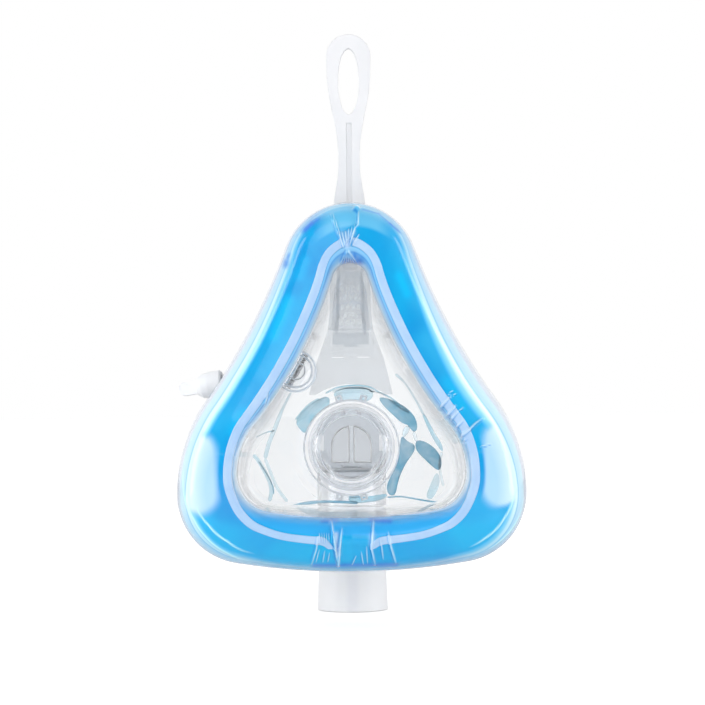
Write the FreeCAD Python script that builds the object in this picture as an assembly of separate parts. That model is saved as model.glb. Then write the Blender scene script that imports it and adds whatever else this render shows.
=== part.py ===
import FreeCAD, Part
import math
import os

from FreeCAD import Placement, Rotation, Vector

# Full face mask in millimetres. +Z is up, +X is the right side as the wearer's side is looked at, and +Y points
# away from the wearer's face. The origin is where the port's axis meets the crest of the cushion.

ACROSS = Vector(1, 0, 0)
AWAY = Vector(0, 1, 0)
UP = Vector(0, 0, 1)
HERE = Vector(0, 0, 0)

# Rim of the mask: five tangent arcs on each side, crown, hollow flank, cheek, jaw and base
RIM = dict(crown_z=86.7, half_width=61.1, cheek_z=-14.9, crown_r=24.0, flank_r=224.0, cheek_r=56.5, jaw_r=24.7,
           base_z=-42.6)
# Opening for the nose and mouth, at the cushion's inner edge
OPENING = dict(crown_z=65.3, half_width=40.0, cheek_z=-8.0, crown_r=6.5, flank_r=152.5, cheek_r=27.3, jaw_r=12.9,
               base_z=-23.2)
# Front plateau of the shell
PLATEAU = dict(crown_z=47.0, half_width=36.6, cheek_z=-10.5, crown_r=9.0, flank_r=190.0, cheek_r=22.0, jaw_r=9.5,
               base_z=-20.9)

# Cushion
CUSHION_BACK = 24.8
CUSHION_INSET = 1.0
NOSE_DIP = 5.0
CHIN_DIP = 3.5
# Cushion section: how far across from rim to opening, and how far forward from back to crest
CUSHION_SECTION = [(0.06, 0.0), (0.5, 0.0), (0.94, 0.0), (1.03, 0.35), (1.0, 0.82), (0.84, 1.05), (0.58, 0.96),
                   (0.3, 0.8), (0.04, 0.58), (-0.03, 0.25)]
STATIONS = (2, 3, 3, 4, 3)

# Ring that carries the cushion
RING_FRONT = 25.0
RING_PLATE = 1.6
RING_WALL = 1.2
RING_CLEARANCE = 0.1
RING_SNAP = 0.8
RING_LIP = 0.8

# Shell
FLANGE_THICKNESS = 2.0
SHELL_WALL = 2.0
SHELL_DEPTH = 22.0
DOME_ROUNDING = 1.6
DOME_STEPS = (0.0, 0.2, 0.4, 0.6, 0.8, 1.0)
MOUTH_GROWTH = 1.0
RIB_WIDTH = 1.6
RIB_HEIGHT = 1.2
SINK = 0.5
GUSSET_FOOT = (4.1, 10.9)
GUSSET_TIP = 8.7
GUSSET_FOOT_Z = 31.6
GUSSET_TIP_Z = 39.6
RELIEF = 0.9
ROUND_PADS = ((-23.5, 0.0, 2.9), (-18.8, -11.6, 2.4))
SQUARE_PAD = (23.4, -8.0)
SQUARE_PAD_SIZE = (5.0, 7.9)
SQUARE_PAD_CORNER_R = 1.4

# Port
BOSS_R = 22.0
BOSS_HEIGHT = 3.4
PORT_RING_R = 17.0
PORT_RING_FLANGE_R = 19.6
PORT_RING_FLANGE = 1.8
SEAT_CLEARANCE = 0.05
RUNNING_CLEARANCE = 0.08
FACE_GAP = 0.3
LUG_WIDTH = 2.4
LUG_REACH = 2.0
LUG_ANGLE = 14.0

# Elbow
BORE_R = 11.4
BARREL_R = 13.2
LIP_R = 14.6
LIP_THICKNESS = 1.2
LIP_CHAMFER = 0.3
COLLAR_R = 15.8
COLLAR_LENGTH = 1.6
COLLAR_TAPER = 1.0
NOTCH_WIDTH = 2.6
NOTCH_DEPTH = 5.0
ELBOW_R = 13.6
TUBE_R = 12.75
TUBE_AXIS_Y = 83.0
TUBE_FOOT_Z = -36.0
BORE_FOOT_Z = -22.0
BORE_TAPER = 2.0
SPIGOT_BORE_R = 9.3
SPIGOT_R = 10.9
SPIGOT_LENGTH = 11.0
BEAD_HEIGHT = 0.3
BEAD_LENGTH = 1.2
BEAD_SLOPE = 0.25
VENT_R = 0.6
VENT_COUNT = 4
VENT_PITCH = 2.6
VENT_SPLAY = 1.25

# Valve
FLAP_R = 10.7
FLAP_THICKNESS = 0.8
HINGE_REACH = 9.5
HINGE_PIN_R = 0.5
HINGE_BARREL_R = 0.9
HINGE_HALF = 2.7
EAR_THICKNESS = 1.2
EAR_R = 1.1
WINDOW_HALF = 7.4
WINDOW_CENTRE_Z = -1.0
WINDOW_SILL_Z = -7.0
WINDOW_BAR = 2.0
VALVE_PLATE = 2.0
VALVE_PLUG_R = 11.3
VALVE_SEAT_R = 10.6
VALVE_SEAT_GAP = 0.2
VALVE_CHAMFER = 0.6
HOOD_GAP = 2.2
HOOD_THICKNESS = 1.2
HOOD_POST_X = 10.4
HOOD_POST_HALF_HEIGHT = 3.0

# Hose cuff
SWIVEL_TOP_R = 12.6
SWIVEL_END_R = 13.05
SWIVEL_END_Z = -61.0
SOCKET_R = 11.1
SOCKET_LENGTH = 12.6
SOCKET_CHAMFER = 0.5

# Forehead arm and its bracket
ARM_TILT = 35.0
TRACK_FOOT_Y = 60.1
TRACK_FOOT_Z = 39.2
TRACK_LENGTH = 30.0
DECK_THICKNESS = 1.6
DECK_HALF = 8.5
RUNNER_HALF = 5.5
RUNNER_THICKNESS = 2.4
SLIDE_GAP = 0.2
RAIL_LIP = 1.0
LIP_THROAT_HALF = 4.6
PEDESTAL_HALF = 4.2
THUMB_THICKNESS = 1.5
THUMB_TOP_HALF = 7.1
THUMB_FOOT_HALF = 9.15
THUMB_FOOT_Z = 0.5
THUMB_SHOULDER_Z = 18.0
THUMB_CORNER_R = 3.0
PEDESTAL_START_Z = 1.0
PEDESTAL_END_Z = 28.0
ARM_BEND_Z = 75.0
ARM_BEND_R = 14.0
ARM_LEAN = 4.0
ARM_TOP_Z = 146.0
LOOP_R = 7.75
# Half width of the arm below its loop, by height
ARM_FLANK = ((7.0, 125.0), (4.9, 114.5), (3.85, 106.0), (3.85, 98.0), (4.9, 91.0), (5.5, 85.0))
GROOVE_WIDTH = 1.8
GROOVE_DEPTH = 0.4
GROOVE_TOP_Z = 115.0
EYELET_HALF_WIDTH = 3.7
EYELET_HALF_LENGTH = 11.5
EYELET_Z = 129.5
BUMP_R = 0.7
BUMP_HEIGHT = 0.4
BUMP_ROWS = (4, 5, 4, 5, 4)
BUMP_PITCH = 2.3
BUMP_FOOT_Z = 3.4
ROW_PITCH = 3.9
SKIRT = 2.0
SKIRT_DEPTH = 12.0
SADDLE_THICKNESS = 1.6
SADDLE_FOOT_HALF = 15.0
SADDLE_SHOULDER_HALF = 12.0
SADDLE_SHOULDER_Z = 31.5
SADDLE_FOOT_Z = 19.0
SADDLE_GAP = 0.8
BRACKET_WINDOW = (4.2, 4.8)
BRACKET_WINDOW_X = 4.6
BRACKET_WINDOW_Z = 34.6

# Strap lugs
LUG_PLATE = 3.0
LUG_PLATE_Y = 37.0
LUG_TIP_X = 56.0
LUG_CENTRE_Z = -9.0
LUG_HALF_HEIGHT = 14.5
SLOT_WIDTH = 7.0
SLOT_LENGTH = 21.0
SLOT_EDGE = 3.2

# Side port and its plug
SIDE_PORT_X = -19.5
SIDE_PORT_Z = 27.8
SIDE_PORT_R = 6.6
SIDE_BOSS_WALL = 1.2
SIDE_CUP_FLOOR_Y = 45.0
SIDE_CUP_WALL = 1.6
SIDE_CUP_SETBACK = 3.0
SIDE_TURN = 8.0
SIDE_DROP = 9.0
SPOUT_R = 2.9
SPOUT_BORE_R = 1.6
SPOUT_REACH = 34.8
CAP_R = 4.7
CAP_LENGTH = 10.0
CAP_COVER = 8.0
CAP_BEVEL = 0.5
# Cap's shoulder: share of its radius at a share of its length
CAP_SHOULDER = ((1.0, 0.5), (0.9, 0.75), (0.62, 0.93))
TAB_ROOT = 1.2
TAB_LENGTH = 6.0
TAB_WIDTH = 4.8
TAB_THICKNESS = 1.8


def box(low, high):
    """A box between two corners."""
    return Part.makeBox(high[0] - low[0], high[1] - low[1], high[2] - low[2], Vector(*low))


def rod(radius, start, end):
    """A round rod between two points."""
    way = Vector(*end) - Vector(*start)
    return Part.makeCylinder(radius, way.Length, Vector(*start), way)


def turned(profile, centre, axis):
    """A solid of revolution from (radius, length) points, about an axis through the centre."""
    points = [Vector(r, 0, l) for r, l in profile]
    face = Part.Face(Part.makePolygon(points + [points[0]]))
    solid = face.revolve(HERE, UP, 360)
    solid.Placement = Placement(Vector(*centre), Rotation(UP, Vector(*axis)))
    return solid


def fused(first, *others):
    """One solid from several, with the seams between flush faces removed."""
    return first.multiFuse(list(others)).removeSplitter()


def grown(shape, by):
    """The same outline with every arc moved outwards by one distance."""
    return dict(shape, crown_z=shape["crown_z"] + by, half_width=shape["half_width"] + by,
                crown_r=shape["crown_r"] + by, flank_r=shape["flank_r"] - by, cheek_r=shape["cheek_r"] + by,
                jaw_r=shape["jaw_r"] + by, base_z=shape["base_z"] - by)


def between(first, second, share):
    """The outline a share of the way from the first to the second."""
    return {key: first[key] + (second[key] - first[key]) * share for key in first}


def right_arcs(shape):
    """Five tangent arcs of the right side, from crown to base, as centre x, centre z, radius, start and end angle."""
    crown = (0.0, shape["crown_z"] - shape["crown_r"])
    cheek = (shape["half_width"] - shape["cheek_r"], shape["cheek_z"])
    jaw = (shape["half_width"] - shape["jaw_r"], shape["cheek_z"])
    span = math.hypot(cheek[0] - crown[0], cheek[1] - crown[1])
    to_crown = shape["flank_r"] + shape["crown_r"]
    to_cheek = shape["flank_r"] + shape["cheek_r"]
    along = (to_crown ** 2 - to_cheek ** 2 + span ** 2) / (2 * span)
    aside = math.sqrt(to_crown ** 2 - along ** 2)
    way = ((cheek[0] - crown[0]) / span, (cheek[1] - crown[1]) / span)
    flank = (crown[0] + along * way[0] - aside * way[1], crown[1] + along * way[1] + aside * way[0])
    drop = shape["base_z"] - shape["cheek_z"]
    base_r = (shape["jaw_r"] ** 2 - jaw[0] ** 2 - drop ** 2) / (2 * (drop + shape["jaw_r"]))
    base = (0.0, shape["base_z"] + base_r)

    def angle(start, end):
        return math.atan2(end[1] - start[1], end[0] - start[0])

    turn = 2 * math.pi
    return [(*crown, shape["crown_r"], math.pi / 2, angle(crown, flank)),
            (*flank, shape["flank_r"], angle(flank, crown) % turn, angle(flank, cheek) % turn),
            (*cheek, shape["cheek_r"], angle(cheek, flank), 0.0),
            (*jaw, shape["jaw_r"], 0.0, angle(base, jaw)),
            (*base, base_r, angle(base, jaw), -math.pi / 2)]


def arc_point(arc, share, side, y):
    """The point a share of the way along an arc, on the right side (1) or the left side (-1)."""
    x, z, radius, start, end = arc
    angle = start + (end - start) * share
    return Vector(side * (x + radius * math.cos(angle)), y, z + radius * math.sin(angle))


def outline_wire(shape, y):
    """The closed outline at one depth, ten arcs from the crown round the right side and back up the left."""
    arcs = right_arcs(shape)
    right = [Part.Arc(*(arc_point(arc, share, 1, y) for share in (0, 0.5, 1))).toShape() for arc in arcs]
    left = [Part.Arc(*(arc_point(arc, share, -1, y) for share in (1, 0.5, 0))).toShape() for arc in reversed(arcs)]
    return Part.Wire(right + left)


def slab(shape, start_y, end_y):
    """The outline filled and given a thickness along Y."""
    return Part.Face(outline_wire(shape, start_y)).extrude(Vector(0, end_y - start_y, 0))


def flange_back():
    return RING_FRONT + RING_PLATE + FLANGE_THICKNESS


def plateau_y():
    return flange_back() + SHELL_DEPTH


def gel_cushion():
    """Cushion ring as one smooth closed surface: the section's control points are carried round from station to
    station, at the same share of each arc of the rim and of the opening, and the crest dips at nose and chin."""
    outer = right_arcs(grown(RIM, -CUSHION_INSET))
    inner = right_arcs(OPENING)
    right = [(number, step / count) for number, count in enumerate(STATIONS) for step in range(count)]
    stations = [(1, *station) for station in right]
    stations += [(-1, number, share) for number, share in [(len(STATIONS) - 1, 1.0)] + right[:0:-1]]
    poles = []
    for side, number, share in stations:
        start = arc_point(outer[number], share, side, 0)
        end = arc_point(inner[number], share, side, 0)
        height = max(0.0, end.z / OPENING["crown_z"])
        middle = max(0.0, 1 - abs(end.x) / OPENING["half_width"]) if end.z < 0 else 0.0
        crest = NOSE_DIP * height ** 2 + CHIN_DIP * middle
        row = []
        for across, forward in CUSHION_SECTION:
            point = start + (end - start) * across
            row.append(Vector(point.x, CUSHION_BACK + (crest - CUSHION_BACK) * forward, point.z))
        poles.append(row)
    rounds = len(poles)
    turns = len(CUSHION_SECTION)
    surface = Part.BSplineSurface()
    surface.buildFromPolesMultsKnots(poles, [1] * (rounds + 1), [1] * (turns + 1), list(range(rounds + 1)),
                                     list(range(turns + 1)), True, True, 3, 3)
    solid = Part.Solid(Part.Shell([surface.toShape()]))
    if solid.Volume < 0:
        solid.reverse()
    return solid


def cushion_ring():
    """Ring with a flat plate for the cushion, and a wall with a snap bead that holds the shell's flange."""
    snap_y = flange_back() + RING_CLEARANCE
    ring = slab(RIM, RING_FRONT, snap_y + RING_SNAP)
    flange_room = grown(RIM, -RING_WALL)
    ring = ring.cut(slab(flange_room, RING_FRONT + RING_PLATE, snap_y))
    ring = ring.cut(slab(grown(flange_room, -RING_LIP), snap_y, snap_y + RING_SNAP))
    return ring.cut(slab(OPENING, RING_FRONT, RING_FRONT + RING_PLATE))


def dome(growth, depth):
    """Rounded body from the mouth up to the plateau, whose sides turn in more and more steeply."""
    mouth = grown(OPENING, MOUTH_GROWTH + growth)
    top = grown(PLATEAU, growth)
    sections = []
    for step in DOME_STEPS:
        rise = 1 - (1 - step) ** DOME_ROUNDING
        sections.append(outline_wire(between(mouth, top, step), flange_back() + depth * rise))
    return Part.makeLoft(sections, True, False)


def strap_lug(side):
    """Ear with a rounded tip and a long slot for the lower strap."""
    middle_y = LUG_PLATE_Y + LUG_PLATE / 2
    tip_r = SLOT_WIDTH / 2 + SLOT_EDGE
    centre_x = LUG_TIP_X - tip_r
    low = LUG_CENTRE_Z - LUG_HALF_HEIGHT + tip_r
    high = LUG_CENTRE_Z + LUG_HALF_HEIGHT - tip_r
    root = PLATEAU["half_width"] - SHELL_WALL
    rounds = [rod(tip_r, (centre_x, LUG_PLATE_Y, z), (centre_x, LUG_PLATE_Y + LUG_PLATE, z)) for z in (low, high)]
    plate = fused(box((root, LUG_PLATE_Y, low - tip_r), (centre_x, LUG_PLATE_Y + LUG_PLATE, high + tip_r)),
                  box((centre_x, LUG_PLATE_Y, low), (LUG_TIP_X, LUG_PLATE_Y + LUG_PLATE, high)), *rounds)
    reach = SLOT_LENGTH / 2 - SLOT_WIDTH / 2
    ends = [rod(SLOT_WIDTH / 2, (centre_x, middle_y - LUG_PLATE, LUG_CENTRE_Z + way * reach),
                (centre_x, middle_y + LUG_PLATE, LUG_CENTRE_Z + way * reach)) for way in (-1, 1)]
    slot = fused(box((centre_x - SLOT_WIDTH / 2, middle_y - LUG_PLATE, LUG_CENTRE_Z - reach),
                     (centre_x + SLOT_WIDTH / 2, middle_y + LUG_PLATE, LUG_CENTRE_Z + reach)), *ends)
    lug = plate.cut(slot)
    return lug if side > 0 else lug.mirror(HERE, ACROSS)


def port_lugs(growth):
    """Four lugs on the port ring, in pairs above and below, each grown for the notch that it sits in."""
    inner_y = plateau_y() - SHELL_WALL
    half = LUG_WIDTH / 2 + growth
    lugs = []
    for angle in (90 - LUG_ANGLE, 90 + LUG_ANGLE, 270 - LUG_ANGLE, 270 + LUG_ANGLE):
        lug = box((PORT_RING_R - 2 * SINK, inner_y, -half), (PORT_RING_R + LUG_REACH + growth, plateau_y(), half))
        lug.rotate(HERE, AWAY, -angle)
        lugs.append(lug)
    return lugs


def side_axis():
    """Where the side spout starts, in the middle of its cup, and the way that it points."""
    turn = math.radians(SIDE_TURN)
    drop = math.radians(SIDE_DROP)
    start = Vector(SIDE_PORT_X, SIDE_CUP_FLOOR_Y - SIDE_CUP_WALL - SPOUT_R, SIDE_PORT_Z)
    way = Vector(-math.cos(turn) * math.cos(drop), math.sin(turn) * math.cos(drop), -math.sin(drop))
    return start, way


def side_boss(radius, start_y, end_y):
    return rod(radius, (SIDE_PORT_X, start_y, SIDE_PORT_Z), (SIDE_PORT_X, end_y, SIDE_PORT_Z))


def inner_relief():
    """What stands on the inside of the plateau: two gussets by the arm's bracket, two round pads and a square one."""
    face_y = plateau_y() - SHELL_WALL
    low = face_y - RELIEF
    high = face_y + SHELL_WALL / 2
    pieces = [rod(radius, (x, low, z), (x, high, z)) for x, z, radius in ROUND_PADS]
    for side in (-1, 1):
        points = [Vector(side * GUSSET_FOOT[0], low, GUSSET_FOOT_Z), Vector(side * GUSSET_FOOT[1], low, GUSSET_FOOT_Z),
                  Vector(side * GUSSET_TIP, low, GUSSET_TIP_Z)]
        pieces.append(Part.Face(Part.makePolygon(points + [points[0]])).extrude(Vector(0, high - low, 0)))
    x, z = SQUARE_PAD
    width, height = SQUARE_PAD_SIZE
    pad = box((x - width / 2, low, z - height / 2), (x + width / 2, high, z + height / 2))
    upright = [edge for edge in pad.Edges if abs(edge.BoundBox.YLength - (high - low)) < 0.01]
    pieces.append(pad.makeFillet(SQUARE_PAD_CORNER_R, upright))
    return pieces


def shell():
    """Clear body: flange, domed wall, plateau with its rim bead, port boss, side boss and two strap lugs."""
    front = RING_FRONT + RING_PLATE
    top = plateau_y()
    flange = slab(grown(RIM, -RING_WALL - RING_CLEARANCE), front, flange_back())
    lugs = [strap_lug(side) for side in (1, -1)]
    boss = rod(BOSS_R, (0, top - SHELL_WALL, 0), (0, top + BOSS_HEIGHT, 0))
    bead = slab(PLATEAU, top, top + RIB_HEIGHT).cut(slab(grown(PLATEAU, -RIB_WIDTH), top, top + RIB_HEIGHT))
    cup_boss = side_boss(SIDE_PORT_R + SIDE_BOSS_WALL, flange_back(), SIDE_CUP_FLOOR_Y)
    body = flange.multiFuse([dome(SHELL_WALL, SHELL_DEPTH), boss, cup_boss, *lugs])
    body = body.fuse(bead)
    body = body.cut(dome(0.0, SHELL_DEPTH - SHELL_WALL))
    body = body.cut(slab(grown(OPENING, MOUTH_GROWTH), front, flange_back()))
    body = body.multiFuse(inner_relief())
    body = body.cut(side_boss(SIDE_PORT_R + SEAT_CLEARANCE, flange_back(), SIDE_CUP_FLOOR_Y))
    body = body.cut(rod(PORT_RING_R + SEAT_CLEARANCE, (0, top - 2 * SHELL_WALL, 0), (0, top + 2 * BOSS_HEIGHT, 0)))
    for notch in port_lugs(SEAT_CLEARANCE):
        body = body.cut(notch)
    start, way = side_axis()
    body = body.cut(Part.makeCylinder(SPOUT_R + SEAT_CLEARANCE, SPOUT_REACH, start, way))
    return body.removeSplitter()


def port_ring():
    """Collar in the boss, with an outer flange and four lugs at its inner end."""
    inner_y = plateau_y() - SHELL_WALL
    seat_y = plateau_y() + BOSS_HEIGHT
    end_y = seat_y + PORT_RING_FLANGE
    bore = BARREL_R + RUNNING_CLEARANCE
    ring = turned([(bore, inner_y), (PORT_RING_R, inner_y), (PORT_RING_R, seat_y), (PORT_RING_FLANGE_R, seat_y),
                   (PORT_RING_FLANGE_R, end_y), (bore, end_y)], (0, 0, 0), (0, 1, 0))
    lugs = [lug.cut(rod(PORT_RING_R - SINK, (0, 0, 0), (0, end_y, 0))) for lug in port_lugs(0.0)]
    return fused(ring, *lugs)


def barrel_end():
    """The barrel ends flush with the back of the down tube."""
    return TUBE_AXIS_Y + TUBE_R


def elbow():
    """Swivel elbow: snap fingers through the port ring, a barrel, a down tube and a spigot with a bead."""
    ring_inner = plateau_y() - SHELL_WALL
    ring_outer = plateau_y() + BOSS_HEIGHT + PORT_RING_FLANGE
    lip_end = ring_inner - FACE_GAP
    lip_start = lip_end - LIP_THICKNESS
    collar = ring_outer + FACE_GAP
    barrel = turned([(0, lip_start), (BARREL_R, lip_start), (LIP_R, lip_end - LIP_CHAMFER),
                     (LIP_R, lip_end), (BARREL_R, lip_end), (BARREL_R, collar), (COLLAR_R, collar),
                     (COLLAR_R, collar + COLLAR_LENGTH), (ELBOW_R, collar + COLLAR_LENGTH + COLLAR_TAPER),
                     (ELBOW_R, barrel_end()), (0, barrel_end())], (0, 0, 0), (0, 1, 0))
    bead_z = TUBE_FOOT_Z - SPIGOT_LENGTH + BEAD_LENGTH
    tube = turned([(0, 0), (TUBE_R, 0), (TUBE_R, TUBE_FOOT_Z), (SPIGOT_R, TUBE_FOOT_Z),
                   (SPIGOT_R, bead_z + BEAD_LENGTH), (SPIGOT_R + BEAD_HEIGHT, bead_z + BEAD_LENGTH - BEAD_SLOPE),
                   (SPIGOT_R + BEAD_HEIGHT, bead_z + BEAD_SLOPE), (SPIGOT_R, bead_z),
                   (SPIGOT_R, TUBE_FOOT_Z - SPIGOT_LENGTH), (0, TUBE_FOOT_Z - SPIGOT_LENGTH)],
                  (0, TUBE_AXIS_Y, 0), (0, 0, 1))
    way_in = rod(BORE_R, (0, lip_start, 0), (0, barrel_end(), 0))
    way_down = turned([(0, 0), (BORE_R, 0), (BORE_R, BORE_FOOT_Z), (SPIGOT_BORE_R, BORE_FOOT_Z - BORE_TAPER),
                       (SPIGOT_BORE_R, TUBE_FOOT_Z - SPIGOT_LENGTH), (0, TUBE_FOOT_Z - SPIGOT_LENGTH)],
                      (0, TUBE_AXIS_Y, 0), (0, 0, 1))
    body = fused(barrel, tube).cut(way_in).cut(way_down)
    notch = box((-NOTCH_WIDTH / 2, lip_start, 0), (NOTCH_WIDTH / 2, lip_start + NOTCH_DEPTH, LIP_R))
    for quarter in range(4):
        body = body.cut(notch.rotated(HERE, AWAY, 90 * quarter))
    middle_y = (collar + barrel_end()) / 2
    for row in (-1, 1):
        for number in range(VENT_COUNT):
            y = middle_y + (number - (VENT_COUNT - 1) / 2) * VENT_PITCH
            body = body.cut(rod(VENT_R, (row * VENT_PITCH, y, 0), (row * VENT_PITCH * VENT_SPLAY, y, 2 * ELBOW_R)))
    return body


def hinge_place():
    """The flap's hinge line, set so that the flap lies centred over the down tube and stands centred in the barrel."""
    return TUBE_AXIS_Y + HINGE_REACH, -HINGE_REACH


def valve_frame():
    """End plate of the barrel with an arched window, a bar down its middle, two ears for the flap, and a clear hood
    on two posts that keeps bedding off the window."""
    hinge_y, hinge_z = hinge_place()
    plug_y = TUBE_AXIS_Y + BORE_R
    plate_end = barrel_end() + VALVE_PLATE
    plate = turned([(0, plug_y), (VALVE_PLUG_R, plug_y),
                    (VALVE_PLUG_R, barrel_end()), (ELBOW_R, barrel_end()), (ELBOW_R, plate_end),
                    (0, plate_end)], (0, 0, 0), (0, 1, 0))
    seat_y = hinge_y + FLAP_THICKNESS / 2 + VALVE_SEAT_GAP
    seat_foot = hinge_z + EAR_R + VALVE_SEAT_GAP
    seat = rod(VALVE_SEAT_R, (0, seat_y, 0), (0, plug_y + SINK, 0))
    seat = seat.common(box((-BORE_R, seat_y, seat_foot), (BORE_R, barrel_end(), BORE_R)))
    plate = plate.fuse(seat)
    start = seat_y - SINK
    end = plate_end + SINK
    arch = fused(rod(WINDOW_HALF, (0, start, WINDOW_CENTRE_Z), (0, end, WINDOW_CENTRE_Z)),
                 box((-WINDOW_HALF, start, WINDOW_SILL_Z), (WINDOW_HALF, end, WINDOW_CENTRE_Z)))
    arch = arch.common(box((-BORE_R, start, WINDOW_SILL_Z), (BORE_R, end, BORE_R)))
    bar = box((-WINDOW_BAR / 2, seat_y, WINDOW_SILL_Z - 2 * SINK),
              (WINDOW_BAR / 2, barrel_end() + VALVE_PLATE / 2, WINDOW_CENTRE_Z + WINDOW_HALF + SINK))
    hood_y = plate_end + HOOD_GAP
    hood_end = hood_y + HOOD_THICKNESS
    hood = turned([(0, hood_y), (ELBOW_R, hood_y), (ELBOW_R, hood_end - VALVE_CHAMFER),
                   (ELBOW_R - VALVE_CHAMFER, hood_end), (0, hood_end)], (0, 0, 0), (0, 1, 0))
    posts = box((-ELBOW_R, plate_end - SINK, -HOOD_POST_HALF_HEIGHT), (ELBOW_R, hood_y + SINK, HOOD_POST_HALF_HEIGHT))
    posts = posts.common(rod(ELBOW_R, (0, 0, 0), (0, hood_end, 0)))
    posts = posts.cut(box((-HOOD_POST_X, 0, -ELBOW_R), (HOOD_POST_X, hood_end, ELBOW_R)))
    body = fused(plate.cut(arch), bar, posts, hood)
    for side in (-1, 1):
        near = side * (HINGE_HALF + SLIDE_GAP / 2)
        far = near + side * EAR_THICKNESS
        ear = rod(EAR_R, (near, hinge_y, hinge_z), (far, hinge_y, hinge_z))
        foot = box((min(near, far), hinge_y, hinge_z - EAR_R), (max(near, far), barrel_end(), hinge_z + EAR_R))
        body = body.fuse(ear.fuse(foot))
    body = body.cut(rod(HINGE_PIN_R + RUNNING_CLEARANCE, (-BORE_R, hinge_y, hinge_z), (BORE_R, hinge_y, hinge_z)))
    return body.removeSplitter()


def valve_flap():
    """Soft disc on a short hinge barrel, lying over the down tube."""
    hinge_y, hinge_z = hinge_place()
    half = FLAP_THICKNESS / 2
    disc = rod(FLAP_R, (0, TUBE_AXIS_Y, hinge_z - half), (0, TUBE_AXIS_Y, hinge_z + half))
    ear_room = HINGE_BARREL_R + EAR_R
    for side in (-1, 1):
        edge = side * (HINGE_HALF - SLIDE_GAP / 2)
        far = side * FLAP_R
        disc = disc.cut(box((min(edge, far), hinge_y - ear_room, hinge_z - half),
                            (max(edge, far), hinge_y + FLAP_R, hinge_z + half)))
    disc = disc.cut(box((-FLAP_R, hinge_y, hinge_z - half), (FLAP_R, hinge_y + FLAP_R, hinge_z + half)))
    barrel = rod(HINGE_BARREL_R, (-HINGE_HALF, hinge_y, hinge_z), (HINGE_HALF, hinge_y, hinge_z))
    pin_half = HINGE_HALF + SLIDE_GAP / 2 + EAR_THICKNESS
    pin = rod(HINGE_PIN_R, (-pin_half, hinge_y, hinge_z), (pin_half, hinge_y, hinge_z))
    return fused(disc, barrel, pin)


def hose_swivel():
    """Frosted cuff: a sleeve with a groove for the spigot's bead, a stop, and a socket for the hose."""
    top_z = TUBE_FOOT_Z - FACE_GAP
    stop_z = TUBE_FOOT_Z - SPIGOT_LENGTH - FACE_GAP
    groove_z = TUBE_FOOT_Z - SPIGOT_LENGTH + 1.5 * BEAD_LENGTH
    sleeve_r = SPIGOT_R + RUNNING_CLEARANCE
    groove_r = sleeve_r + BEAD_HEIGHT + RUNNING_CLEARANCE
    socket_z = SWIVEL_END_Z + SOCKET_LENGTH
    profile = [(sleeve_r, top_z), (SWIVEL_TOP_R, top_z), (SWIVEL_TOP_R, socket_z), (SWIVEL_END_R, SWIVEL_END_Z),
               (SOCKET_R + SOCKET_CHAMFER, SWIVEL_END_Z), (SOCKET_R, SWIVEL_END_Z + SOCKET_CHAMFER),
               (SOCKET_R, socket_z), (SPIGOT_BORE_R, socket_z), (SPIGOT_BORE_R, stop_z), (sleeve_r, stop_z),
               (sleeve_r, groove_z - BEAD_LENGTH), (groove_r, groove_z - BEAD_LENGTH),
               (groove_r, groove_z + BEAD_LENGTH), (sleeve_r, groove_z + BEAD_LENGTH)]
    return turned(profile, (0, TUBE_AXIS_Y, 0), (0, 0, 1))


def on_track(solid):
    """Moves a solid from the track's own frame, Z along the track and Y out of it, to its place on the mask."""
    solid.Placement = Placement(Vector(0, TRACK_FOOT_Y, TRACK_FOOT_Z), Rotation(ACROSS, ARM_TILT))
    return solid


def runner_y():
    """Depth of the runner's underside in the track's frame."""
    return SLIDE_GAP


def arm_bracket():
    """Saddle round the boss and a raised track with two lipped rails, its feet cut to the shell's dome."""
    lip_y = runner_y() + RUNNER_THICKNESS + SLIDE_GAP
    rail = box((RUNNER_HALF + SLIDE_GAP, 0, 0), (DECK_HALF, lip_y + RAIL_LIP, TRACK_LENGTH))
    lip = box((LIP_THROAT_HALF, lip_y, 0), (DECK_HALF, lip_y + RAIL_LIP, TRACK_LENGTH))
    rails = [rail.fuse(lip), rail.fuse(lip).mirror(HERE, ACROSS)]
    block = box((-DECK_HALF, -SKIRT_DEPTH, 0), (DECK_HALF, 0, TRACK_LENGTH))
    hollow = box((-DECK_HALF + SKIRT, -SKIRT_DEPTH, SKIRT), (DECK_HALF - SKIRT, -DECK_THICKNESS, TRACK_LENGTH))
    track = on_track(fused(block.cut(hollow), *rails))
    top = plateau_y()
    track = track.cut(box((-BOSS_R, 0, -BOSS_R), (BOSS_R, top, TRACK_FOOT_Z)))
    points = [Vector(SADDLE_FOOT_HALF, top, SADDLE_FOOT_Z), Vector(SADDLE_SHOULDER_HALF, top, SADDLE_SHOULDER_Z),
              Vector(DECK_HALF, top, TRACK_FOOT_Z + SKIRT)]
    points += [Vector(-point.x, point.y, point.z) for point in reversed(points)]
    saddle = Part.Face(Part.makePolygon(points + [points[0]])).extrude(Vector(0, SADDLE_THICKNESS, 0))
    saddle = saddle.cut(rod(BOSS_R + SADDLE_GAP, (0, 0, 0), (0, 2 * top, 0)))
    for side in (-1, 1):
        centre_x = side * BRACKET_WINDOW_X
        saddle = saddle.cut(box((centre_x - BRACKET_WINDOW[0] / 2, top, BRACKET_WINDOW_Z - BRACKET_WINDOW[1] / 2),
                                (centre_x + BRACKET_WINDOW[0] / 2, top + SADDLE_THICKNESS,
                                 BRACKET_WINDOW_Z + BRACKET_WINDOW[1] / 2)))
    body = fused(track, saddle)
    body = body.cut(dome(SHELL_WALL, SHELL_DEPTH))
    body = body.cut(slab(PLATEAU, top, top + RIB_HEIGHT).cut(slab(grown(PLATEAU, -RIB_WIDTH), top, top + RIB_HEIGHT)))
    return body.removeSplitter()


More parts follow.
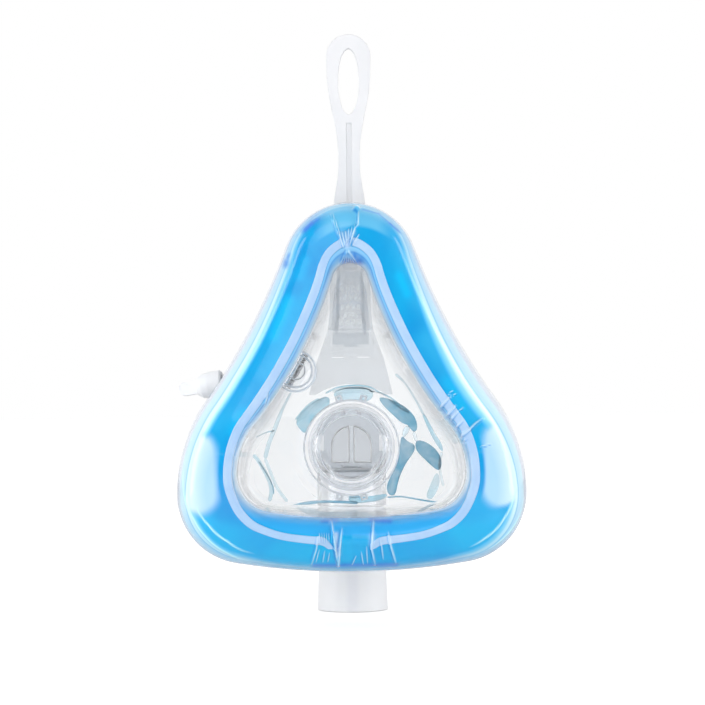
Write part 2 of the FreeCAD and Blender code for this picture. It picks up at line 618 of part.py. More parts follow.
def forehead_arm():
    """Bent strip cut to the arm's front outline, with an eyelet and a shallow groove on the wearer's side, and a
    dimpled thumb plate over the runner."""
    tilt = math.radians(ARM_TILT)
    lean = math.radians(ARM_LEAN)
    near = runner_y()
    far = near + RUNNER_THICKNESS

    def on_slope(depth, z):
        """The point of a line parallel to the track at a depth, and at a height in the mask's frame."""
        foot = Vector(0, TRACK_FOOT_Y + depth * math.cos(tilt), TRACK_FOOT_Z + depth * math.sin(tilt))
        return Vector(0, foot.y - (z - foot.z) * math.tan(tilt), z)

    foot_z = TRACK_FOOT_Z + near * math.sin(tilt) + SLIDE_GAP
    drop = 0.5 * RUNNER_THICKNESS * math.tan((tilt - lean) / 2)
    bends = [on_slope(near, ARM_BEND_Z - drop), on_slope(far, ARM_BEND_Z + drop)]
    tops = [Vector(0, point.y - (ARM_TOP_Z - point.z) * math.tan(lean), ARM_TOP_Z) for point in bends]
    feet = [Vector(0, TRACK_FOOT_Y + depth * math.cos(tilt) - SLIDE_GAP * math.sin(tilt),
                   TRACK_FOOT_Z + depth * math.sin(tilt) + SLIDE_GAP * math.cos(tilt)) for depth in (near, far)]
    side_view = [feet[0], bends[0], tops[0], tops[1], bends[1], feet[1]]
    strip = Part.Face(Part.makePolygon(side_view + [side_view[0]])).extrude(Vector(2 * LOOP_R, 0, 0))
    strip.translate(Vector(-LOOP_R, 0, 0))
    for point, radius in ((bends[0], ARM_BEND_R), (bends[1], ARM_BEND_R - RUNNER_THICKNESS)):
        edges = [edge for edge in strip.Edges
                 if abs(edge.CenterOfMass.y - point.y) < 0.01 and abs(edge.CenterOfMass.z - point.z) < 0.01]
        strip = strip.makeFillet(radius, edges)

    loop_z = ARM_TOP_Z - LOOP_R
    flank = [Vector(LOOP_R, 0, loop_z)] + [Vector(half, 0, z) for half, z in ARM_FLANK]
    curve = Part.BSplineCurve()
    curve.interpolate(flank, InitialTangent=Vector(0, 0, -1), FinalTangent=Vector(0, 0, -1))
    crown = Part.Arc(Vector(-LOOP_R, 0, loop_z), Vector(0, 0, ARM_TOP_Z), flank[0]).toShape()
    right = curve.toShape()
    left = right.mirror(HERE, ACROSS)
    corners = [flank[-1], Vector(RUNNER_HALF, 0, 0), Vector(-RUNNER_HALF, 0, 0), Vector(-RUNNER_HALF, 0, flank[-1].z)]
    lines = [Part.makeLine(corners[n], corners[n + 1]) for n in range(3)]
    front = Part.Face(Part.Wire(Part.__sortEdges__([crown, right, left, *lines])))
    strip = strip.common(front.extrude(Vector(0, barrel_end(), 0)))
    eye = Part.Ellipse(Vector(0, 0, EYELET_Z + EYELET_HALF_LENGTH), Vector(EYELET_HALF_WIDTH, 0, EYELET_Z),
                       Vector(0, 0, EYELET_Z))
    hole = Part.Face(Part.Wire(eye.toShape())).extrude(Vector(0, barrel_end(), 0))
    strip = strip.cut(hole)
    middle = strip.common(box((-GROOVE_WIDTH / 2, 0, 0), (GROOVE_WIDTH / 2, barrel_end(), GROOVE_TOP_Z)))
    deeper = middle.copy()
    deeper.translate(Vector(0, GROOVE_DEPTH, 0))
    strip = strip.cut(middle.cut(deeper))

    plate_y = far + 2 * SLIDE_GAP + RAIL_LIP
    plate_end_z = PEDESTAL_END_Z + SINK
    pedestal = box((-PEDESTAL_HALF, far - SINK, PEDESTAL_START_Z), (PEDESTAL_HALF, plate_y + SINK, PEDESTAL_END_Z))
    outline = [Vector(THUMB_FOOT_HALF, plate_y, THUMB_FOOT_Z), Vector(THUMB_TOP_HALF, plate_y, THUMB_SHOULDER_Z),
               Vector(PEDESTAL_HALF, plate_y, plate_end_z), Vector(-PEDESTAL_HALF, plate_y, plate_end_z),
               Vector(-THUMB_TOP_HALF, plate_y, THUMB_SHOULDER_Z), Vector(-THUMB_FOOT_HALF, plate_y, THUMB_FOOT_Z)]
    plate = Part.Face(Part.makePolygon(outline + [outline[0]])).extrude(Vector(0, THUMB_THICKNESS, 0))
    corners = [edge for edge in plate.Edges if abs(edge.CenterOfMass.z - THUMB_FOOT_Z) < 0.01
               and abs(abs(edge.CenterOfMass.x) - THUMB_FOOT_HALF) < 0.01]
    plate = plate.makeFillet(THUMB_CORNER_R, corners)
    bumps = []
    bump_y = plate_y + THUMB_THICKNESS
    for row, count in enumerate(BUMP_ROWS):
        z = BUMP_FOOT_Z + row * ROW_PITCH
        for number in range(count):
            x = (number - (count - 1) / 2) * BUMP_PITCH
            bumps.append(Part.makeCone(BUMP_R, BUMP_R / 2, BUMP_HEIGHT, Vector(x, bump_y, z), AWAY))
    thumb = on_track(fused(pedestal, plate, *bumps))
    return fused(strip, thumb)


def side_port():
    """Turned cup in the shell's side boss, with a long thin spout to the left."""
    start, way = side_axis()
    cup = side_boss(SIDE_PORT_R, flange_back() + SIDE_CUP_SETBACK, SIDE_CUP_FLOOR_Y)
    hollow = side_boss(SIDE_PORT_R - SIDE_CUP_WALL, flange_back(), SIDE_CUP_FLOOR_Y - SIDE_CUP_WALL)
    spout = Part.makeCylinder(SPOUT_R, SPOUT_REACH, start, way)
    bore = Part.makeCylinder(SPOUT_BORE_R, SPOUT_REACH, start, way)
    return fused(cup, spout).cut(hollow).cut(bore)


def port_cap():
    """Soft domed cap pushed over the spout's end, with a flat pull tab."""
    start, way = side_axis()
    mouth = SPOUT_REACH - CAP_COVER
    bore = SPOUT_R + RUNNING_CLEARANCE
    tip = SPOUT_REACH + FACE_GAP
    shoulder = [(CAP_R * across, mouth + CAP_LENGTH * along) for across, along in CAP_SHOULDER]
    profile = [(bore, mouth), (CAP_R - CAP_BEVEL, mouth), (CAP_R, mouth + CAP_BEVEL), *shoulder,
               (0, mouth + CAP_LENGTH), (0, tip), (bore, tip)]
    cap = turned(profile, start, way)
    tab_start = mouth + CAP_LENGTH - TAB_ROOT
    tab_end = mouth + CAP_LENGTH + TAB_LENGTH - TAB_WIDTH / 2
    half = TAB_THICKNESS / 2
    tab = box((-TAB_WIDTH / 2, -half, tab_start), (TAB_WIDTH / 2, half, tab_end))
    tab = tab.fuse(rod(TAB_WIDTH / 2, (0, -half, tab_end), (0, half, tab_end)))
    tab.Placement = Placement(start, Rotation(UP, way))
    return fused(cap, tab)


NODES = dict(shell=shell, cushion_ring=cushion_ring, gel_cushion=gel_cushion, port_ring=port_ring, elbow=elbow,
             valve_frame=valve_frame, valve_flap=valve_flap, hose_swivel=hose_swivel, arm_bracket=arm_bracket,
             forehead_arm=forehead_arm, side_port=side_port, port_cap=port_cap)

os.makedirs("parts", exist_ok=True)
for name, make in NODES.items():
    solid = make()
    solid.exportStep(f"parts/{name}.step")
    corners = solid.BoundBox
    print(name, len(solid.Solids), solid.isValid(), round(solid.Volume), "mm3", round(corners.XMin, 1),
          round(corners.XMax, 1), round(corners.YMin, 1), round(corners.YMax, 1), round(corners.ZMin, 1),
          round(corners.ZMax, 1))
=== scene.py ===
import math

import bpy
import numpy as np
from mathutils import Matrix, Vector

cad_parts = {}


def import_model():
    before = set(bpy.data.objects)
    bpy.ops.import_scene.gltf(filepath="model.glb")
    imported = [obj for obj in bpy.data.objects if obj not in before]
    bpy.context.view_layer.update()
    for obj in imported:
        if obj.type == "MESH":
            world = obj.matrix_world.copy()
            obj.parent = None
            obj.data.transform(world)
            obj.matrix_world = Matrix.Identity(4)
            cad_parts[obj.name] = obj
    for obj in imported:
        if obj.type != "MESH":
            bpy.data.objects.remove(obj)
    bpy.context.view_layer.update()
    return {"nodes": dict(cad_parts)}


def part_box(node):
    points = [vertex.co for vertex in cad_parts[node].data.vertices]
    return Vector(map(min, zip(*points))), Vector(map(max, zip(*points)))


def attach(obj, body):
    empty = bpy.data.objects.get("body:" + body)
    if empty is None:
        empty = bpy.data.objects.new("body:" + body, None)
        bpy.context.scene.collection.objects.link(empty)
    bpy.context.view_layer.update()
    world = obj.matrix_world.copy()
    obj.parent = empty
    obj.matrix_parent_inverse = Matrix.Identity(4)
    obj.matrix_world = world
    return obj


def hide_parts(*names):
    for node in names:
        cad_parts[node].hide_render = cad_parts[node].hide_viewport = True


# Metres throughout, except that outlines, folds and ridges are written in millimetres and scaled by MM.
MM = 0.001
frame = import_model()

# Outlines of the rim and of the opening: five tangent arcs on each side, from the crown to the base
RIM = dict(crown_z=85.7, half_width=60.1, cheek_z=-14.9, base_z=-41.6,
           crown_r=23.0, flank_r=225.0, cheek_r=55.5, jaw_r=23.7)
OPENING = dict(crown_z=65.3, half_width=40.0, cheek_z=-8.0, base_z=-23.2,
               crown_r=6.5, flank_r=152.5, cheek_r=27.3, jaw_r=12.9)
CUSHION_BACK = 24.8
NOSE_DIP = 5.0
CHIN_DIP = 3.5

# The cushion's section: how far forward each of its poles lies, and samples after each pole
SECTION_FORWARD = (0.0, 0.0, 0.0, 0.30, 0.70, 0.94, 1.03, 1.05, 1.04, 1.01, 0.95, 0.86, 0.70, 0.44, 0.17)
SECTION_SAMPLES = (3, 4, 4, 8, 8, 8, 10, 10, 10, 10, 10, 10, 12, 12, 6)
# Spacing of the sections round the ring, and how much closer they stand where the film is creased
SECTION_STEP = 0.75
SECTION_CLOSER = 3.0

# Seam band's centre line: place along the outline (arc number plus share), and distance from the opening
SEAM_PLACES = (0.0, 0.5, 1.0, 1.33, 1.66, 2.0, 2.33, 2.66, 3.0, 3.33, 3.66, 4.0, 4.25, 4.5, 4.75, 5.0)
SEAM_DEPTHS = (6.75, 5.5, 4.1, 3.9, 3.8, 3.4, 2.9, 2.5, 2.3, 2.4, 3.7, 5.4, 6.8, 7.1, 7.1, 6.6)
SEAM_HALF = 1.5
# The first and last of the section's poles that carry the band, and samples after each
SEAM_POLES = (5, 9)
SEAM_SAMPLES = 24
# Where the band sags towards the rim at the base's folds: place across, sag, and how far it runs to each side
SEAM_SAGS = [(-6.0, 4.0, 3.6, 1.4), (6.8, 2.2, 2.6, 3.4)]

# Film near the rim and its painted highlight streak, by place along the outline: how far it reaches in, and
# how much it shows
FILM_PLACES = (0.0, 0.5, 1.0, 1.25, 1.6, 2.0, 3.0, 3.6, 4.0, 4.3, 5.0)
FILM_REACH = (2.0, 3.0, 4.6, 6.0, 8.0, 8.8, 7.6, 6.4, 5.4, 3.6, 2.2)
FILM_STRENGTH = (0.25, 0.35, 0.5, 0.75, 0.9, 1.0, 0.95, 0.6, 0.5, 0.3, 0.15)
# The film reaches further in on the right flank than on the left, by this share either way
FILM_LEAN = 0.18

# Painted highlight lines in the film at the lower corners: side, places, distances from the rim and strengths
GLINTS = [
    (-1, (2.7, 2.83, 3.07, 3.32, 3.54, 3.86, 4.05, 4.2), (1.6, 1.8, 3.2, 4.6, 4.6, 3.7, 2.1, 1.8),
     (0.0, 0.8, 0.9, 1.0, 1.0, 0.8, 0.5, 0.0)),
    (-1, (3.15, 3.27, 3.47, 3.77, 4.0, 4.15), (7.0, 7.3, 8.1, 7.8, 5.9, 5.0), (0.0, 0.7, 1.0, 1.0, 0.6, 0.0)),
    (1, (2.88, 3.07, 3.35, 3.69, 3.95), (2.7, 4.9, 6.2, 6.6, 5.9), (0.0, 0.8, 1.0, 0.9, 0.0)),
    (1, (3.0, 3.16, 3.35, 3.58, 3.88), (0.6, 0.9, 1.6, 2.1, 2.5), (0.0, 0.8, 1.0, 0.8, 0.0)),
]
GLINT_HALF = 0.36
GLINT_RIDGE = 0.25

# Soft patches of colour in front view: each is a line from x, z to x, z with a radius and an amount
ROYAL_PATCHES = [
    (-15.5, 76.3, -12.7, 78.9, 0.9, 1.0), (-11.0, 79.9, -11.0, 79.9, 0.7, 0.9),
    (-22.2, 64.5, -22.0, 65.5, 1.1, 0.7), (-21.3, 67.1, -21.0, 68.0, 0.5, 0.7),
    (4.5, 83.3, 10.0, 81.9, 0.3, 0.5), (10.0, 81.9, 14.1, 78.2, 0.3, 0.5), (14.1, 78.2, 17.0, 75.6, 0.4, 0.7),
    (-1.6, 65.4, 3.4, 65.4, 1.5, 0.85), (1.6, 67.6, 1.8, 67.0, 0.8, 0.6),
    (-13.0, -38.8, 15.0, -38.8, 0.9, 0.75), (-10.0, -23.6, -5.0, -23.4, 0.8, 0.6),
    (6.5, -23.4, 13.0, -23.8, 0.8, 0.8),
]
LEFT_PALE_PATCHES = [(-54.5, 1.5, -54.0, -14.0, 6.0, 1.0), (-51.5, 0.0, -51.0, -14.0, 5.0, 1.0)]
RIGHT_PALE_PATCHES = [(53.0, 5.0, 53.0, -13.0, 6.0, 1.0), (50.4, 3.0, 50.0, -12.5, 5.0, 1.0)]
LIGHT_PATCHES = [
    (14.0, 76.0, 24.0, 52.0, 3.6, 0.55), (24.0, 52.0, 31.0, 36.0, 3.4, 0.5),
    (-17.5, 42.0, -29.0, 27.0, 3.2, 0.55), (27.0, 38.0, 44.0, 12.0, 4.6, 0.7),
    (-38.0, 20.0, -46.0, 10.0, 3.6, 0.45), (-52.0, -22.0, -40.0, -34.0, 2.6, 0.7),
    (50.0, -22.0, 38.0, -34.0, 3.0, 0.6), (-19.0, 72.0, -21.5, 60.0, 1.6, 0.6),
]
BRIGHT_PATCHES = [
    (17.0, 60.0, 19.5, 54.0, 1.8, 0.9), (-21.0, 52.0, -26.0, 40.0, 2.2, 0.8),
    (-15.0, 66.0, -17.0, 60.0, 1.8, 0.5), (33.0, 24.0, 38.0, 16.0, 2.4, 0.5),
    (-36.0, 14.0, -40.0, 8.0, 2.4, 0.5), (-50.0, -24.0, -40.0, -33.0, 3.0, 0.8),
    (49.0, -24.0, 38.0, -34.0, 3.0, 0.4),
]
KNOTS = [
    (-2.9, 74.6, -1.2, 71.0, 1.1, 0.4), (0.9, 75.0, -0.6, 71.0, 1.0, 0.4), (-1.0, 74.8, -1.0, 71.0, 1.0, 0.4),
    (-5.4, -28.0, -5.0, -34.5, 0.9, 0.75), (6.9, -28.5, 6.9, -31.5, 1.0, 0.6),
]

# Folds of the film in front view: half width, height and, for each fold, the points of its line
FOLDS = [
    (0.3, 0.45, [(-6.6, 81.9), (-4.8, 77.1), (-3.0, 70.8)]),
    (0.26, 0.35, [(-5.9, 82.2), (-3.7, 75.6), (-2.4, 70.0)]),
    (0.34, 0.55, [(3.0, 82.6), (2.8, 77.8), (1.9, 76.7)]),
    (0.3, 0.5, [(2.05, 77.1), (0.7, 73.0), (-0.2, 70.4)]),
    (0.28, 0.45, [(3.3, 74.8), (0.7, 70.4)]),
    (0.9, 0.9, [(1.6, 84.2), (3.6, 83.0)]),
    (0.36, 0.6, [(-3.6, 74.6), (-3.0, 72.6), (-2.0, 69.8)], [(-2.6, 75.4), (-2.2, 73.2), (-1.8, 70.6)],
     [(-1.5, 75.8), (-1.3, 73.6), (-1.0, 71.4)]),
    (0.34, 0.6, [(-0.3, 76.6), (-0.4, 74.4), (-0.5, 72.2)], [(0.9, 77.4), (0.5, 75.2), (0.1, 73.0)]),
    (0.3, 0.5, [(1.7, 78.2), (1.3, 75.6), (0.5, 72.6)]),
    (0.26, 0.45, [(-1.2, 69.4), (-3.6, 64.6)]),
    (0.26, 0.5, [(-1.1, 69.4), (-2.5, 64.4)], [(-1.0, 69.4), (-1.4, 64.3)], [(-0.8, 69.4), (-0.3, 64.2)],
     [(-0.7, 69.4), (0.8, 64.2)], [(-0.6, 69.4), (1.9, 64.2)]),
    (0.26, 0.45, [(-0.5, 69.4), (3.0, 64.3)]),
    (0.46, 0.6, [(-11.4, -27.8), (-12.4, -33.0), (-14.2, -38.6)]),
    (0.5, 0.8, [(-7.2, -23.2), (-6.4, -29.4), (-5.2, -37.0)]),
    (0.5, 0.9, [(-3.4, -25.8), (-4.2, -31.0), (-4.8, -39.4)]),
    (0.34, 0.5, [(-6.4, -27.4), (-5.6, -33.0), (-4.9, -39.2)]),
    (0.5, 0.8, [(7.5, -23.2), (6.6, -32.4), (7.9, -39.0)]),
    (0.48, 0.7, [(12.2, -26.8), (13.2, -32.0), (15.0, -38.4)]),
    (0.3, 0.3, [(-11.2, -32.6), (-12.6, -37.8)]),
    (0.3, 0.35, [(-9.4, -33.0), (-10.2, -37.8)], [(-7.8, -33.9), (-8.5, -37.6)],
     [(1.4, -35.0), (-0.3, -38.8)], [(3.0, -33.6), (3.8, -38.8)], [(4.8, -31.6), (5.2, -38.4)]),
    (0.34, 0.3, [(9.6, -29.0), (10.6, -37.0)]),
    (0.44, 0.7, [(29.6, 13.2), (31.2, 16.0), (34.0, 19.4)], [(31.4, 9.6), (33.0, 12.6), (35.6, 16.2)]),
    (0.4, 0.55, [(33.2, 9.4), (34.8, 12.0), (36.4, 14.2)], [(34.4, 6.0), (36.2, 8.8), (38.0, 11.0)]),
    (0.46, 0.7, [(36.2, 4.0), (39.0, 6.6), (42.0, 9.4), (45.2, 11.6)]),
    (0.36, 0.45, [(37.0, 2.0), (39.4, 4.8)]),
    (0.3, 0.3, [(32.8, 19.2), (34.9, 21.0)], [(34.5, 18.6), (35.9, 20.2)], [(36.5, 13.8), (38.3, 15.2)]),
    (0.35, 0.3, [(43.4, 1.5), (47.8, 2.9)]),
    (0.35, 0.35, [(-29.7, 15.8), (-28.3, 20.6)], [(-29.0, 15.2), (-27.6, 19.3)]),
]
# Eight short pleats side by side at the base
FOLDS += [(0.26, 0.42, [(-11.2 + 0.8 * number, -27.2), (-11.1 + 0.8 * number, -30.9)]) for number in range(8)]

# Moulded ridges on the shell's inner face: tone, height, half width (one, or by point) and points of x, z
# Each tone is painted light: low tones are white as painted highlight, higher ones grey teal to deep teal as
# painted shade
RELIEF = [
    # left edge line
    (0.16, 0.45, 0.75, [(-22.1, 20.4), (-24.9, 13.9), (-27, 8.1), (-29.5, 1.9), (-31, -3.6)]),
    # left edge below
    (0.12, 0.35, 0.58, [(-31, -3.6), (-29.2, -8.4), (-26.5, -14.6), (-23.1, -19.2)]),
    # left cross line
    (0.35, 0.25, 0.27, [(-35.6, 5.1), (-32.2, 5.5), (-27.4, 6.3)]),
    # left leaf
    (0.2, 0.45, 0.69, [(-35.3, -2.2), (-34, -3.6), (-32.3, -6.3), (-30.6, -9.4), (-29.1, -13.2),
     (-28.9, -16.3), (-29.6, -19)]),
    # left leaf dark edge
    # left leaf's edge, in painted shade
    (0.6, 0.3, 0.21, [(-33.3, -4.6), (-31.5, -7.4), (-29.7, -10.5), (-28.2, -13.9), (-28, -16.6)]),
    # left foot line
    (0.72, 0.4, (0.21, 0.48, 0.62, 0.62, 0.48, 0.48, 0.55), [(-22.1, -20.7), (-19.7, -20.4),
     (-16.9, -19.9), (-13.5, -19.5), (-10.1, -19.3), (-4.9, -19.4), (2.2, -19.8)]),
    # left shoulder edge
    (0.36, 0.35, 0.34, [(-20, 10.1), (-17.5, 13.2), (-14.8, 15.8), (-11.4, 17.7)]),
    # top arc
    (0.42, 0.4, 0.33, [(-9.2, 19.5), (-7.3, 20.5), (-5.1, 21.5), (-2.3, 22), (1, 22.3), (4.3, 22.1),
     (7.3, 21.4), (10.5, 19.5)]),
    # top arc, in painted highlight
    (0.08, 0.3, 0.3, [(-6.7, 20), (-4, 21), (1, 21.4), (5.9, 21), (8.6, 20)]),
    # right bright line
    # right line, in painted highlight
    (-0.15, 0.4, 0.26, [(6.5, 20.3), (11.4, 19.1), (15.1, 16.1), (18.5, 13.5), (21, 12.3)]),
    # right dark line
    # right line, in painted shade
    (0.4, 0.3, 0.26, [(10.3, 19.8), (14, 17.9), (17.8, 15), (20.6, 12.8)]),
    # right pad
    (0.1, 0.8, (0.75, 1.06, 0.38), [(20.6, 7.6), (19.6, 5.9), (18.6, 3.5)]),
    # right small pad
    (0, 0.8, (0.38, 0.72, 0.38), [(22.3, 5.9), (22.8, 4), (23.4, 1.8)]),
    # right long ridge
    (0.18, 0.5, 0.6, [(16, 26.3), (20.1, 22.9), (23.1, 18), (26.1, 11.6)]),
    # right long ridge below
    (0.36, 0.5, (0.6, 0.75, 0.68, 0.3), [(25.9, 12), (29, 5.2), (32, -0.1), (32.7, -1.6)]),
    # right ridge foot
    (0.06, 0.45, 0.49, [(32.4, -1.8), (31.6, -5.4), (31.9, -9.9), (32.9, -14.1)]),
    # right foot line
    (0.8, 0.35, 0.3, [(12.7, -17.9), (17.5, -17.7), (22, -18.4), (26.9, -19.3), (30.7, -19.8)]),
    # foot
    (0.45, 0.45, (0.83, 1.06, 1.06, 0.98, 0.6), [(-1.2, -18.5), (2.4, -18.8), (6.2, -18.5), (10, -17.9),
     (12.6, -17.1)]),
    # foot, in painted shade
    (0.5, 0.5, 0.42, [(-1.3, -17.7), (0.9, -17.7), (3, -17.5)]),
]

# Broad low pads there: tone, height and the corners of each pad's outline, which a smooth curve rounds off
# Their tone is painted light, as on the ridges
PADS = [
    # left shoulder
    (0.42, 0.5, [(-20.6, 9.2), (-17.2, 13.6), (-12.4, 17.2), (-8.6, 18.8), (-7.4, 17.4), (-8.0, 14.6),
     (-10.6, 12.5), (-13.6, 9.4), (-16.4, 4.4), (-18.2, 6.6)]),
    # top arc
    (0.24, 0.35, [(-6.9, 19.8), (-3.4, 21.4), (1.9, 22.1), (6.6, 21.4), (8.4, 19.6), (7.4, 16.6),
     (0.5, 15.5), (-5.4, 17.0)]),
    # right shoulder
    (0.7, 0.5, [(9.8, 18.4), (13.8, 17.4), (18.6, 15.2), (22.8, 11.6), (23.9, 7.6), (23.4, 5.6),
     (21.6, 5.4), (20.9, 8.0), (18.1, 8.4), (15.9, 10.8), (13.2, 13.2), (10.4, 16.2)]),
    # right fin
    (0.8, 0.5, [(17.9, 5.0), (20.2, 1.6), (23.2, 1.2), (22.4, -2.1), (20.5, -4.2), (18.2, -8.0),
     (16.4, -12.7), (15.8, -17.8), (12.8, -17.2), (12.2, -13.4), (15.1, -8.7), (16.8, -3.4),
     (17.4, 0.6)]),
    # right bar
    (0.82, 0.45, [(22.8, 3.0), (26.8, 2.0), (30.6, -0.9), (32.7, -4.7), (31.8, -9.1), (29.2, -7.4),
     (25.7, -3.8), (22.8, -1.2)]),
    # right light fin
    (0.22, 0.4, [(30.8, -8.6), (32.0, -12.0), (30.6, -16.0), (28.4, -19.4), (26.2, -18.0), (28.0, -14.0),
     (29.4, -10.6)]),
]

# Depth of the ridges' and pads' flat backs, the spacing along a ridge, their lowest height, and the radius
# round the port that they keep clear of
RIDGE_BACK_Y = 48.59
RIDGE_STEP = 0.5
RIDGE_LOW_Z = -20.3
PORT_CLEAR_R = 17.3

# Round edges of the port ring, the side port and the elbow's mouth: radius, depth and the bead's own radius
# The beads are real rounded edges; their near-white plastic paints a highlight along each
AXIS = (0.0, 0.0)
PORT_EDGE = (17.0, 48.4, 0.34)
SIDE_PORT = (-19.5, 27.8)
SIDE_PORT_EDGES = [(7.2, 28.5, 0.36), (5.8, 31.5, 0.36), (3.1, 43.2, 0.34)]
ELBOW_EDGES = [(14.1, 47.0, 0.28), (11.7, 47.0, 0.26)]
# Valve windows: arc radius and centre, sill, half the bar between them, and their beads' depth and radius
WINDOW = dict(r=7.4, centre_z=-1.0, sill_z=-7.0, bar_half=1.0, depth=94.2, bead_r=0.36)
# Port ring's lugs: middle radius, half side, their beads' depth and radius, and the angles they sit at
LUG = dict(r=18.1, half=0.9, depth=48.3, bead_r=0.42, angles=(76, 104, 256, 284))

# Thumb plate, in metres: the track's foot (y, z) and tilt, where the plate begins over the track, and its
# bumps: first row, pitches, where a bump ends and is full, middle row, and half the rows and width they cover
THUMB = dict(foot=(0.0601, 0.0392), tilt=35.0, face=(0.0036, 0.0039), first_row=0.0034, row_pitch=0.0039,
             pitch=0.0023, bump=(0.0008, 0.0005), middle_row=2.0, half_rows=2.4, half_width=0.005)
# In metres: heights between which the arm turns white, depths between which the valve plate turns to a grey
# hood, painted shade of the elbow's inside, and depths between which the shell's milky wall turns to its
# clear front
ARM_WHITENS = (0.062, 0.072)
HOOD_BEGINS = (0.0963, 0.0975)
DOME_CLEARS = (0.046, 0.0484)

# The photo's camera: place in metres, roll in degrees, and the frame's width at a distance in millimetres
CAMERA = dict(place=(0.00066, -0.897, 0.0341), roll=0.46, sensor=36.0, frame_width=247.2, distance=925.0)
# The floor lies this far under the cuff, and reaches this far, in metres
FLOOR_GAP = 0.0004
FLOOR_REACH = 3.0

# Faces of these pieces coincide with their neighbours' in the solids, so they are drawn smaller by this much
BOND_LINE = 0.003
BONDED = ("port_ring", "arm_bracket", "side_port", "valve_frame", "forehead_arm")


def arcs(shape):
    """The five tangent arcs of the right side as rows of centre x, centre z, radius, start and end angle."""
    crown = np.array([0.0, shape["crown_z"] - shape["crown_r"]])
    cheek = np.array([shape["half_width"] - shape["cheek_r"], shape["cheek_z"]])
    jaw = np.array([shape["half_width"] - shape["jaw_r"], shape["cheek_z"]])
    span = np.hypot(*(cheek - crown))
    reach = shape["flank_r"] + shape["crown_r"]
    along = (reach ** 2 - (shape["flank_r"] + shape["cheek_r"]) ** 2 + span ** 2) / (2 * span)
    aside = math.sqrt(reach ** 2 - along ** 2)
    way = (cheek - crown) / span
    flank = crown + along * way + aside * np.array([-way[1], way[0]])
    drop = shape["base_z"] - shape["cheek_z"]
    base_r = (shape["jaw_r"] ** 2 - jaw[0] ** 2 - drop ** 2) / (2 * (drop + shape["jaw_r"]))
    base = np.array([0.0, shape["base_z"] + base_r])

    def angle(start, end):
        return math.atan2(end[1] - start[1], end[0] - start[0])

    turn = 2 * math.pi
    return np.array([[*crown, shape["crown_r"], math.pi / 2, angle(crown, flank)],
                     [*flank, shape["flank_r"], angle(flank, crown) % turn, angle(flank, cheek) % turn],
                     [*cheek, shape["cheek_r"], angle(cheek, flank), 0.0],
                     [*jaw, shape["jaw_r"], 0.0, angle(base, jaw)],
                     [*base, base_r, angle(base, jaw), -math.pi / 2]])


def outline(shape, place, side):
    """Points on the outline: centre plus radius times (cos, sin) of an angle that runs evenly on each arc."""
    number = np.clip(place.astype(int), 0, 4)
    x, z, radius, start, end = arcs(shape)[number].T
    angle = start + (end - start) * (place - number)
    return np.stack([side * (x + radius * np.cos(angle)), z + radius * np.sin(angle)], -1)


def stations():
    """Places round the ring, closer together at the crown, the base and the creased cheeks."""
    fine = np.linspace(0.0, 5.0, 2001)
    x, z = ((outline(RIM, fine, 1) + outline(OPENING, fine, 1)) / 2).T
    length = np.concatenate([[0.0], np.cumsum(np.hypot(np.diff(x), np.diff(z)))])
    at_middle = np.exp(-(x / 6.0) ** 4)
    at_base = np.exp(-((z + 32) / 7) ** 4 - (x / 17) ** 4)
    at_cheek = 0.5 * np.exp(-((z - 12) / 11) ** 4)
    near = np.clip(at_middle + at_base + at_cheek, 0, 1)
    weight = np.cumsum(np.gradient(length) * (1 + (SECTION_CLOSER - 1) * near))
    count = int((weight[-1] - weight[0]) / SECTION_STEP)
    right = np.interp(np.linspace(weight[0], weight[-1], count), weight, fine)
    place = np.concatenate([right, right[-2:0:-1]])
    side = np.concatenate([np.ones(count), -np.ones(count - 2)])
    return place, side


def spline_weights(poles, counts):
    """Weights of a closed cubic B-spline: each sample's distance to each pole, wrapped round, through the
    cubic hump."""
    at = np.concatenate([number + np.arange(count) / count for number, count in enumerate(counts)])
    away = np.abs((at[:, None] - np.arange(poles)[None, :] + poles / 2) % poles - poles / 2)
    near = (4 - 6 * away ** 2 + 3 * away ** 3) / 6
    far = np.clip(2 - away, 0, None) ** 3 / 6
    return np.where(away < 1, near, far)


def crest_drop(opening_point):
    """How far back the crest sits: it dips at the nose with the square of the height, and at the chin with
    the nearness to its middle."""
    x, z = opening_point.T
    height = np.clip(z / OPENING["crown_z"], 0, None)
    middle = np.where(z < 0, np.clip(1 - np.abs(x) / OPENING["half_width"], 0, None), 0)
    return NOSE_DIP * height ** 2 + CHIN_DIP * middle


def run_length(place):
    """Length along the opening's outline from the crown: arcs passed, plus the share of the present one."""
    rows = arcs(OPENING)
    passed = np.concatenate([[0.0], np.cumsum(rows[:, 2] * np.abs(rows[:, 4] - rows[:, 3]))])
    return np.interp(place, np.arange(len(passed)), passed)


def cubic(t, width, first, last, first_slope, last_slope):
    """Cubic between two values with the slopes given there, at the share t of the width between them."""
    from_first = (2 * t ** 3 - 3 * t ** 2 + 1) * first + (t ** 3 - 2 * t ** 2 + t) * width * first_slope
    return from_first + (3 * t ** 2 - 2 * t ** 3) * last + (t ** 3 - t ** 2) * width * last_slope


def smooth(place, places, values):
    """Cubic through the values at the places: each slope is that between its two neighbours, and the ends
    are level."""
    at, knots, values = run_length(place), run_length(np.array(places, float)), np.array(values, float)
    slope = np.zeros_like(values)
    slope[1:-1] = (values[2:] - values[:-2]) / (knots[2:] - knots[:-2])
    number = np.clip(np.searchsorted(knots, at, "right") - 1, 0, len(knots) - 2)
    width = knots[number + 1] - knots[number]
    t = np.clip((at - knots[number]) / width, 0, 1)
    return cubic(t, width, values[number], values[number + 1], slope[number], slope[number + 1])


def seam_share(place, span):
    """Where across the cushion the seam band's centre lies, 0 at the rim and 1 at the opening."""
    return 1 - smooth(place, SEAM_PLACES, SEAM_DEPTHS) / span


def soft_step(value, edge, width):
    """0 below the edge and 1 above it, with a smooth passage of the given width."""
    share = np.clip((value - edge) / width + 0.5, 0, 1)
    return share * share * (3 - 2 * share)


